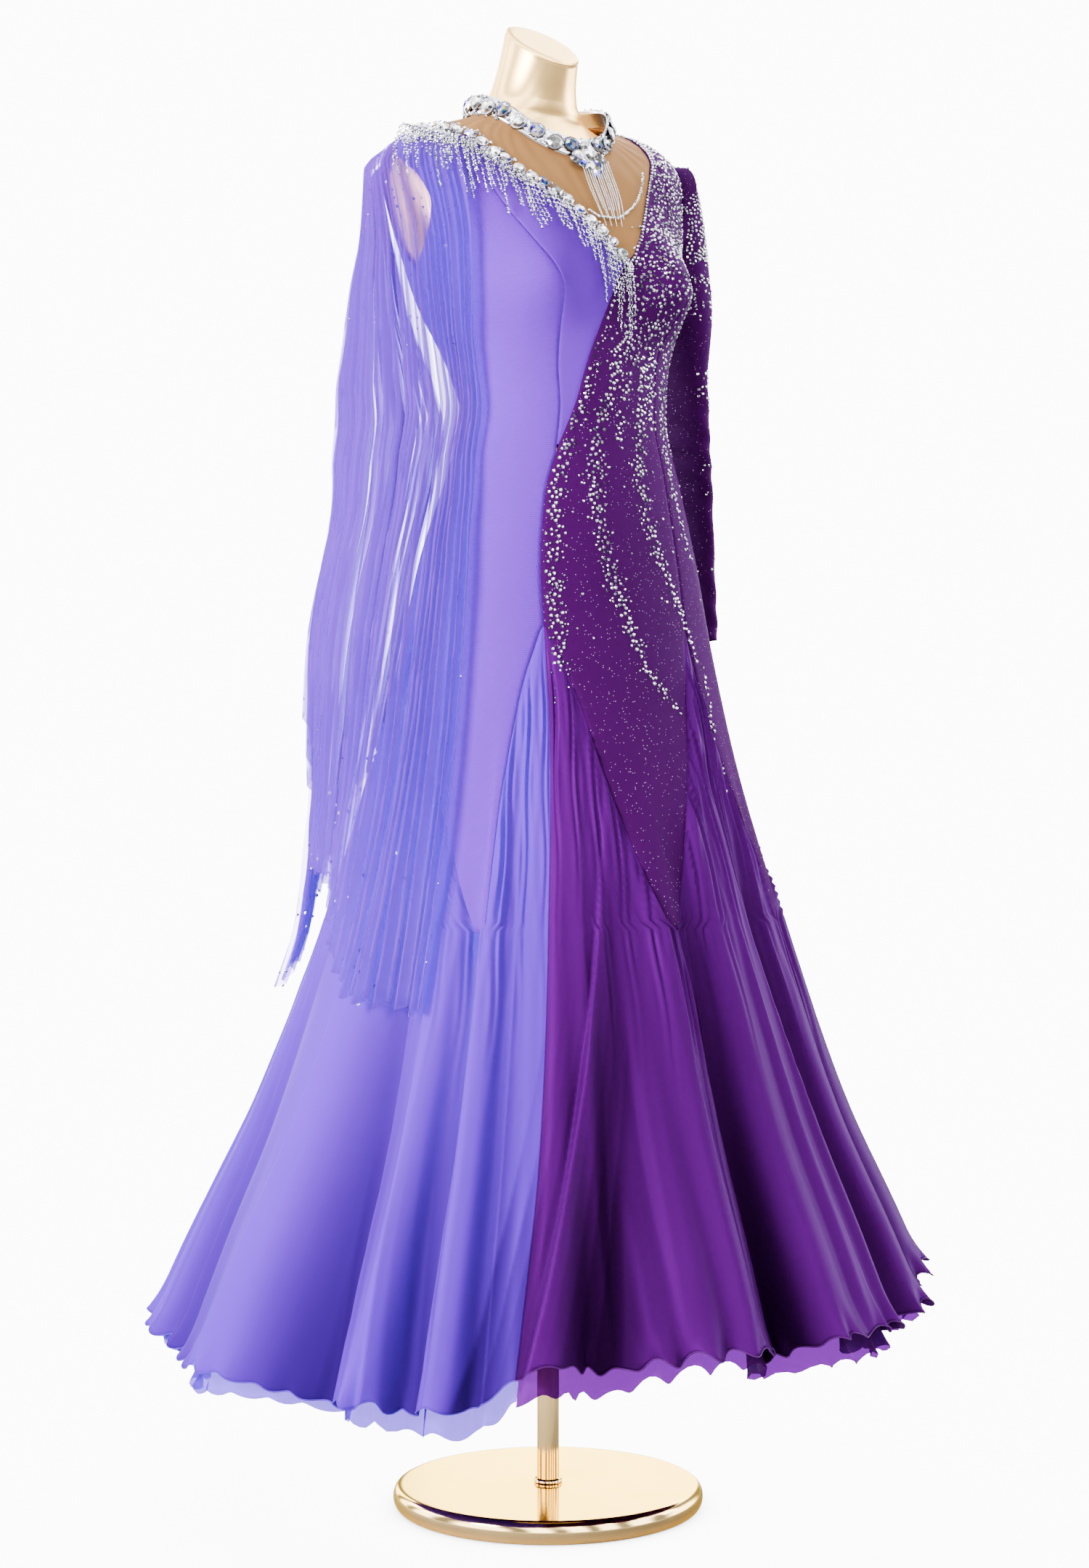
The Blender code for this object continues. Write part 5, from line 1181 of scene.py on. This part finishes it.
def makeBand():
    rng = np.random.default_rng(12)
    fine = np.linspace(band["from"], band["to"], 400)
    line, _ = alongNeckline(fine, 0.0, 0.003)
    length = pathLength(line)
    at = (np.arange(band["stones"]) + 0.5) / band["stones"] * length[-1]
    turn = np.interp(at, length, fine)
    place, out = alongNeckline(turn, rng.uniform(-0.002, 0.002, len(turn)), level["clothOut"] + 0.0035)
    half = length[-1] / band["stones"] * 0.5
    kinds = np.arange(len(turn)) % 3
    each = np.ones(len(turn))
    size = half * np.stack([0.90 * each, np.where(kinds == 1, 0.62, 0.80), 0.75 * each], axis=1)
    clear = kinds != 1
    setStones("bandStones", place[clear], out[clear], size[clear], bigTree, ["neckline_band"], seed=5)
    setStones("bandRainbow", place[~clear], out[~clear], size[~clear], rainbowTree, seed=6)
    setStones("bandSettings", place - out * 0.0012, out, size * np.array([1.12, 1.15, 0.8]), rimTree,
              seed=7)
    turn = rng.uniform(band["from"], band["to"], band["filler"])
    down = rng.normal(0, 0.0062, band["filler"])
    small, facing = alongNeckline(turn, np.clip(down, -0.010, 0.013), level["clothOut"] + 0.0018)
    size = rng.choice([0.0026, 0.0020, 0.0016], len(turn))
    far = np.linalg.norm(small[:, None] - place[None], axis=2).min(axis=1) > half * 0.80
    small, facing, size = small[far], facing[far], size[far]
    kept = spaced(small, 0.0044, size / 0.0052)
    setStones("bandFiller", small[kept[::2]], facing[kept[::2]], size[kept[::2]], studTree, seed=8)
    setStones("bandDarkFiller", small[kept[1::2]], facing[kept[1::2]], size[kept[1::2]], darkTree, seed=28)


makeBand()

fringe = {"strands": 86, "bead": 0.0013, "from": -78.0, "to": 9.2, "crust": 300}
fringeLength = smoothCurve((
    (-84, 0.066), (-60, 0.078), (-44, 0.086), (-30, 0.092), (-18, 0.082), (-8, 0.080), (1, 0.100), (6, 0.108),
    (9, 0.080)))
fringeOff = smoothCurve(((-84, 0.020), (-56, 0.021), (-44, 0.0064), (8, 0.0058)))


def descend(turn, height, steps, step):  # a bead line's way down the cloth, as gravity takes it
    route = [(turn, height)]
    for _ in range(steps - 1):
        across = (bodyPoint(turn + 0.4, height) - bodyPoint(turn - 0.4, height)) / 0.8
        down = (bodyPoint(turn, height + 0.001) - bodyPoint(turn, height - 0.001)) / 0.002
        out = bodyNormal(turn, height)
        fall = unit(-np.array([0, 0, 1.0]) + out * out[..., 2:3])
        dropped = (fall * down).sum(-1) / (down * down).sum(-1)
        turned = ((fall - down * dropped[..., None]) * across).sum(-1) / (across * across).sum(-1)
        turn, height = turn + 0.35 * np.clip(turned * step, -0.5, 0.5), height + dropped * step
        route.append((turn, height))
    return (np.array(values) for values in zip(*route))


def makeFringe():
    rng = np.random.default_rng(14)
    k = np.arange(fringe["strands"])
    start = mix(fringe["from"], fringe["to"], (k + 0.5 + rng.uniform(-0.45, 0.45, len(k))) / len(k))
    clump = 0.82 + 0.18 * np.sin(k * 0.9 + 2 * np.sin(k * 0.31))
    lengths = fringeLength(start) * clump * rng.uniform(0.55, 1.08, len(k))
    step = fringe["bead"] * 1.62
    steps = int(lengths.max() / step) + 1
    turn, height = descend(start, neckline(around(start)) - 0.006, steps, step)
    row = np.arange(steps)[:, None]
    drop = row * step
    lean = rng.normal(0, 1.0, len(k))[None] * (drop / 0.08) ** 1.5
    twist = 0.35 * np.sin(row * 1.9 + k * 2.1) + 0.5 * np.sin(drop * 70 + k)
    out = (mix(0.0045, fringeOff(start)[None], smooth(drop / 0.018)) + 0.0009 * np.cos(row * 1.9 + k * 2.1)
           + rng.uniform(0, 0.0025, len(k))[None])
    keep = drop < lengths[None]
    point = onBody(turn + lean + twist * 0.5, height, out, 0.0)[keep]
    facing = bodyNormal(turn, height)[keep]
    size = np.repeat(fringe["bead"] * rng.uniform(0.72, 1.0, len(point))[:, None], 3, axis=1)
    print("fringe beads:", len(point))
    shade = rng.uniform(0, 1, len(point)) < 0.38
    setStones("neckFringe", point[~shade], facing[~shade], size[~shade], beadTree, ["neckline_fringe"],
              seed=9)
    setStones("neckFringeDark", point[shade], facing[shade], size[shade], darkBeadTree, seed=29)
    at = rng.uniform(fringe["from"], fringe["to"], fringe["crust"])
    down = 0.008 + np.abs(rng.normal(0, 0.007, fringe["crust"]))
    crust = onBody(at, neckline(around(at)) - down, 0.0045 + rng.uniform(0, 0.002, fringe["crust"]), 0.0)
    setStones("fringeCrust", crust, bodyNormal(at, neckline(around(at)) - down),
              rng.choice([0.0021, 0.0017, 0.0014], fringe["crust"]), studTree, seed=22)


makeFringe()


# choker, its centre motif, chains and the swag
def chokerPlace(angle, up, out):
    angle = np.asarray(angle, float)
    below = chokerTurn(angle)
    height = bodyPoint(below, chokerHeight(below, choker["out"]))[..., 2] + choker["up"] + up
    s, c = np.sin(np.radians(angle)), np.cos(np.radians(angle))
    lean = 0.30 * up
    x = (choker["radiusX"] + choker["out"] - lean + out) * s
    y = choker["centreY"] - (choker["radiusY"] + choker["out"] - lean + out) * c
    facing = np.stack([s, -c, np.full(np.shape(s), 0.30)], axis=-1)
    return np.stack([x, y, height], axis=-1), unit(facing)


def makeChoker():
    rng = np.random.default_rng(17)
    angle, up = np.meshgrid(np.linspace(0, 360, 97)[:-1], np.linspace(0.0115, -0.0125, choker["rows"]))
    points, _ = chokerPlace(angle, up, 0.0008 + 0.0008 * np.cos(up * 130))
    mesh = gridMesh("chokerBand", points, wrap=True)
    mesh.materials.append(silverBead)
    made = keepPiece(bpy.data.objects.new("chokerBand", mesh))
    made.modifiers.new("thickness", "SOLIDIFY").thickness = 0.0006
    count = choker["stones"]
    angle = (np.arange(count) + 0.5) * 360 / count
    wobble = np.where(np.arange(count) % 2, 0.0022, -0.0018)
    place, facing = chokerPlace(angle, wobble, 0.0035)
    kinds = np.arange(count) % 4
    wide, tall = np.where(kinds == 0, 0.0104, 0.0092), np.where(kinds == 2, 0.0072, 0.0088)
    size = np.stack([wide, tall, np.full(count, 0.0080)], axis=1)
    clear = (kinds != 1) & (kinds != 3) | (np.arange(count) % 8 == 3)
    setStones("chokerStones", place[clear], facing[clear], size[clear], bigTree, ["choker"], seed=10)
    setStones("chokerRainbow", place[~clear], facing[~clear], size[~clear], rainbowTree, seed=11)
    rim = np.array([1.14, 1.14, 0.9])  # a setting is this much larger than its stone
    setStones("chokerSettings", place - facing * 0.0014, facing, size * rim, rimTree, seed=12)
    angle, up = rng.uniform(0, 360, choker["filler"]), rng.uniform(-0.0125, 0.0115, choker["filler"])
    small, out = chokerPlace(angle, up, 0.0018)
    size = rng.choice([0.0025, 0.0020, 0.0016], len(small))
    far = np.linalg.norm(small[:, None] - place[None], axis=2).min(axis=1) > 0.0082
    small, out, size = small[far], out[far], size[far]
    kept = spaced(small, 0.0040, size / 0.0048)
    setStones("chokerFiller", small[kept], out[kept], size[kept], studTree, seed=13)
    motif = np.array([  # angle, up, half size, coloured
        (4, -0.006, 0.0105, 0), (-5, -0.011, 0.0085, 1), (12, -0.011, 0.0085, 0), (3, -0.021, 0.0080, 0),
        (-3, -0.017, 0.0062, 1), (10, -0.020, 0.0070, 1), (17, -0.015, 0.0060, 0), (8, -0.029, 0.0068, 1),
        (14, -0.024, 0.0050, 0), (-9, -0.015, 0.0055, 0)])
    place, facing = chokerPlace(motif[:, 0] + 2, motif[:, 1] - 0.001, 0.0065)
    coloured = motif[:, 3] > 0
    size = np.stack([motif[:, 2] * 1.05, motif[:, 2] * 0.85, motif[:, 2] * 0.8], axis=1)
    setStones("motifStones", place[~coloured], facing[~coloured], size[~coloured], bigTree, seed=14)
    setStones("motifRainbow", place[coloured], facing[coloured], size[coloured], rainbowTree, seed=15)
    setStones("motifSettings", place - facing * 0.0016, facing, size * rim, rimTree, seed=16)


makeChoker()

chains = {"turn": 5.0, "spread": 9.0, "foot": 4.5, "strands": 13, "length": 0.080, "bead": 0.00085, "off": 0.0064,
          "halfStrip": 0.020}


def makeChains():
    found, away = [], []
    front = float(chokerHeight(0.0, choker["out"]) + choker["up"] - choker["drop"] * choker["height"] / 2)
    aim = levelNormal(chains["turn"], front)
    across = np.array([-aim[1], aim[0], 0.0])
    for k in range(chains["strands"]):
        share = 2 * k / (chains["strands"] - 1) - 1
        length = chains["length"] * (0.86 + 0.14 * math.sin(2.1 * k))
        count = int(length / (chains["bead"] * 1.9))
        drop = np.linspace(0, 1, count)
        top = onBody(chains["turn"], front - 0.001, chains["off"]) + across * share * chains["halfStrip"]
        foot = onBody(chains["turn"] + share * chains["foot"], front - 0.006 - length, chains["off"])
        line = mix(top[None], foot[None], drop[:, None])
        turn = chains["turn"] + share * mix(chains["spread"], chains["foot"], drop)
        rest = onBody(turn, line[:, 2], chains["off"])
        point = mix(line, rest, smooth(drop)[:, None])
        found.append(point)
        away.append(np.repeat(aim[None], count, axis=0))
    point, out = np.concatenate(found), np.concatenate(away)
    setStones("chokerChains", point, out, np.full(len(point), chains["bead"]), beadTree, ["choker_chains"],
              seed=18)


def makeSwag():
    step = np.linspace(0, len(swag["turns"]) - 1, swag["stones"])
    turn, height = (smoothCurve(list(enumerate(values)))(step) for values in (swag["turns"], swag["heights"]))
    setStones("neckSwag", onBody(turn, height, 0.0042), bodyNormal(turn, height), np.full(swag["stones"], swag["size"]),
              studTree, ["neck_swag"], seed=19)


makeChains()

swag = {"turns": (28.0, 21.5, 14.5, 6.8, 0.5, -3.8), "heights": (1.526, 1.495, 1.474, 1.461, 1.460, 1.466),
        "stones": 42, "size": 0.0019}
makeSwag()

backZip = {"top": 1.492, "foot": 1.150, "coil": 0.0011, "pitch": 0.0022, "pull": 0.0016}


def makeZip():  # a closed coil zip down the back seam, with a small drop pull at its top
    height = np.arange(backZip["top"], backZip["foot"], -backZip["pitch"])
    turn = 180 + 0.25 * np.where(np.arange(len(height)) % 2, 1.0, -1.0)
    setStones("backZip", onBody(turn, height, level["clothOut"]), bodyNormal(turn, height),
              np.full(len(height), backZip["coil"]), darkBeadTree, seed=40)
    height = backZip["top"] - np.array([0.001, 0.006, 0.011, 0.016, 0.020])
    size = backZip["pull"] * np.array([
        [1.4, 1.4, 1.0], [0.9, 0.9, 0.8], [1.0, 1.0, 0.8], [1.3, 1.3, 0.9], [1.7, 1.7, 1.0]])
    setStones("zipPull", onBody(180.0, height, level["clothOut"] + 0.0022), bodyNormal(180.0, height), size, beadTree,
              seed=41)


makeZip()
print("stones and beads set")


# camera, light and floor
view = {"azimuth": -35.0, "distance": 3.163, "height": 0.827, "aside": 0.0041, "lens": 63.27}
backdropGlow = 12.5
lights = (  # name, turn, distance, height, size, power, colour
    ("keyLight", -84, 3.0, 1.9, 1.1, 200, (1.0, 0.99, 0.98)),
    ("fillLight", -20, 3.4, 2.2, 1.8, 18, (0.98, 0.98, 1.0)),
    ("sideLight", 70, 3.0, 1.5, 1.0, 44, (1.0, 1.0, 1.0)),
    ("rimLight", 140, 3.0, 2.2, 1.6, 60, (1.0, 1.0, 1.0)),
    ("rimLeft", -150, 3.0, 1.8, 1.6, 60, (1.0, 1.0, 1.0)),
    ("topLight", -30, 1.2, 3.4, 1.6, 24, (1.0, 1.0, 1.0)),
)


def makeView():
    angle = math.radians(view["azimuth"])
    away = Vector((math.sin(angle), -math.cos(angle), 0))
    right = Vector((math.cos(angle), math.sin(angle), 0))
    data = bpy.data.cameras.new("camera")
    data.lens = view["lens"]
    data.sensor_width = 36.0
    data.clip_end = 100
    camera = bpy.data.objects.new("camera", data)
    camera.location = away * view["distance"] - right * view["aside"] + Vector((0, 0, view["height"]))
    camera.rotation_euler = (-away).to_track_quat("-Z", "Y").to_euler()
    bpy.context.scene.collection.objects.link(camera)
    bpy.context.scene.camera = camera
    for name, turn, distance, height, size, power, colour in lights:
        lamp = bpy.data.lights.new(name, "AREA")
        lamp.energy = power
        lamp.color = colour
        lamp.size = size
        holder = bpy.data.objects.new(name, lamp)
        turn = math.radians(turn)
        holder.location = (distance * math.sin(turn), -distance * math.cos(turn), height)
        holder.rotation_euler = (Vector((0, 0, 0.95)) - holder.location).to_track_quat("-Z", "Y").to_euler()
        bpy.context.scene.collection.objects.link(holder)


def makeWorld():  # the backdrop is blown out to white; cloth gets a soft dim light and metal a studio to mirror
    world = bpy.data.worlds.new("studio")
    bpy.context.scene.world = world
    world.use_nodes = True
    tree = world.node_tree
    place = node(tree, "ShaderNodeTexCoord").outputs["Generated"]
    up = node(tree, "ShaderNodeSeparateXYZ", {"Vector": place}).outputs["Z"]
    soft = tree.nodes["Background"]
    feed(tree, soft, {"Strength": 0.26, "Color": colourRamp(
        tree, up, ((0.0, (0.55, 0.55, 0.56)), (0.5, (0.80, 0.80, 0.82)), (1.0, (1.0, 1.0, 1.0))))})
    bands = node(tree, "ShaderNodeTexWave", {"Scale": 0.75, "Distortion": 2.2, "Detail": 1.0, "Vector": place},
                 bands_direction="X").outputs["Fac"]
    shade = colourRamp(tree, bands, ((0.10, (0.06, 0.06, 0.065)), (0.35, (0.34, 0.34, 0.35)), (0.62, (1.0, 1.0, 1.0))))
    bright = node(tree, "ShaderNodeBackground", {"Color": shade, "Strength": 12.0})
    plain = node(tree, "ShaderNodeBackground", {"Color": (0.980, 0.980, 1.0, 1), "Strength": backdropGlow})
    path = node(tree, "ShaderNodeLightPath").outputs
    mirrored = mixShaders(tree, path["Is Glossy Ray"], soft.outputs["Background"], bright.outputs["Background"])
    feed(tree, tree.nodes["World Output"],
         {"Surface": mixShaders(tree, path["Is Camera Ray"], mirrored, plain.outputs["Background"])})


def makeFloor():
    mesh = bpy.data.meshes.new("studioFloor")
    reach, corners = 24, 48
    turns = [2 * math.pi * k / corners for k in range(corners)]
    mesh.from_pydata([(reach * math.cos(a), reach * math.sin(a), 0) for a in turns], [], [list(range(corners))])
    made, tree, shader = newMaterial("paleFloor")
    haze = colourRamp(tree, noise(tree, 1.5), ((0.3, (0.90, 0.90, 0.91)), (0.7, (0.92, 0.92, 0.93))))
    feed(tree, shader, {"Base Color": haze, "Roughness": 0.9})
    near = node(tree, "ShaderNodeAmbientOcclusion", {"Distance": 0.30}, samples=8).outputs["AO"]
    shade = colourRamp(tree, near, ((0.0, (0.10, 0.10, 0.11)), (0.9, (0.92, 0.92, 0.94)), (1.0, (0.98, 0.98, 1.0))))
    lit = node(tree, "ShaderNodeEmission", {"Color": shade, "Strength": backdropGlow}).outputs["Emission"]
    seen = node(tree, "ShaderNodeLightPath").outputs["Is Camera Ray"]
    feed(tree, tree.nodes["Material Output"], {"Surface": mixShaders(tree, seen, shader.outputs["BSDF"], lit)})
    mesh.materials.append(made)
    floor = bpy.data.objects.new("studioFloor", mesh)
    bpy.context.scene.collection.objects.link(floor)


makeView()
makeWorld()
makeFloor()
print("view made")
for name, size in cutTable.items():
    print("cut", name, size)
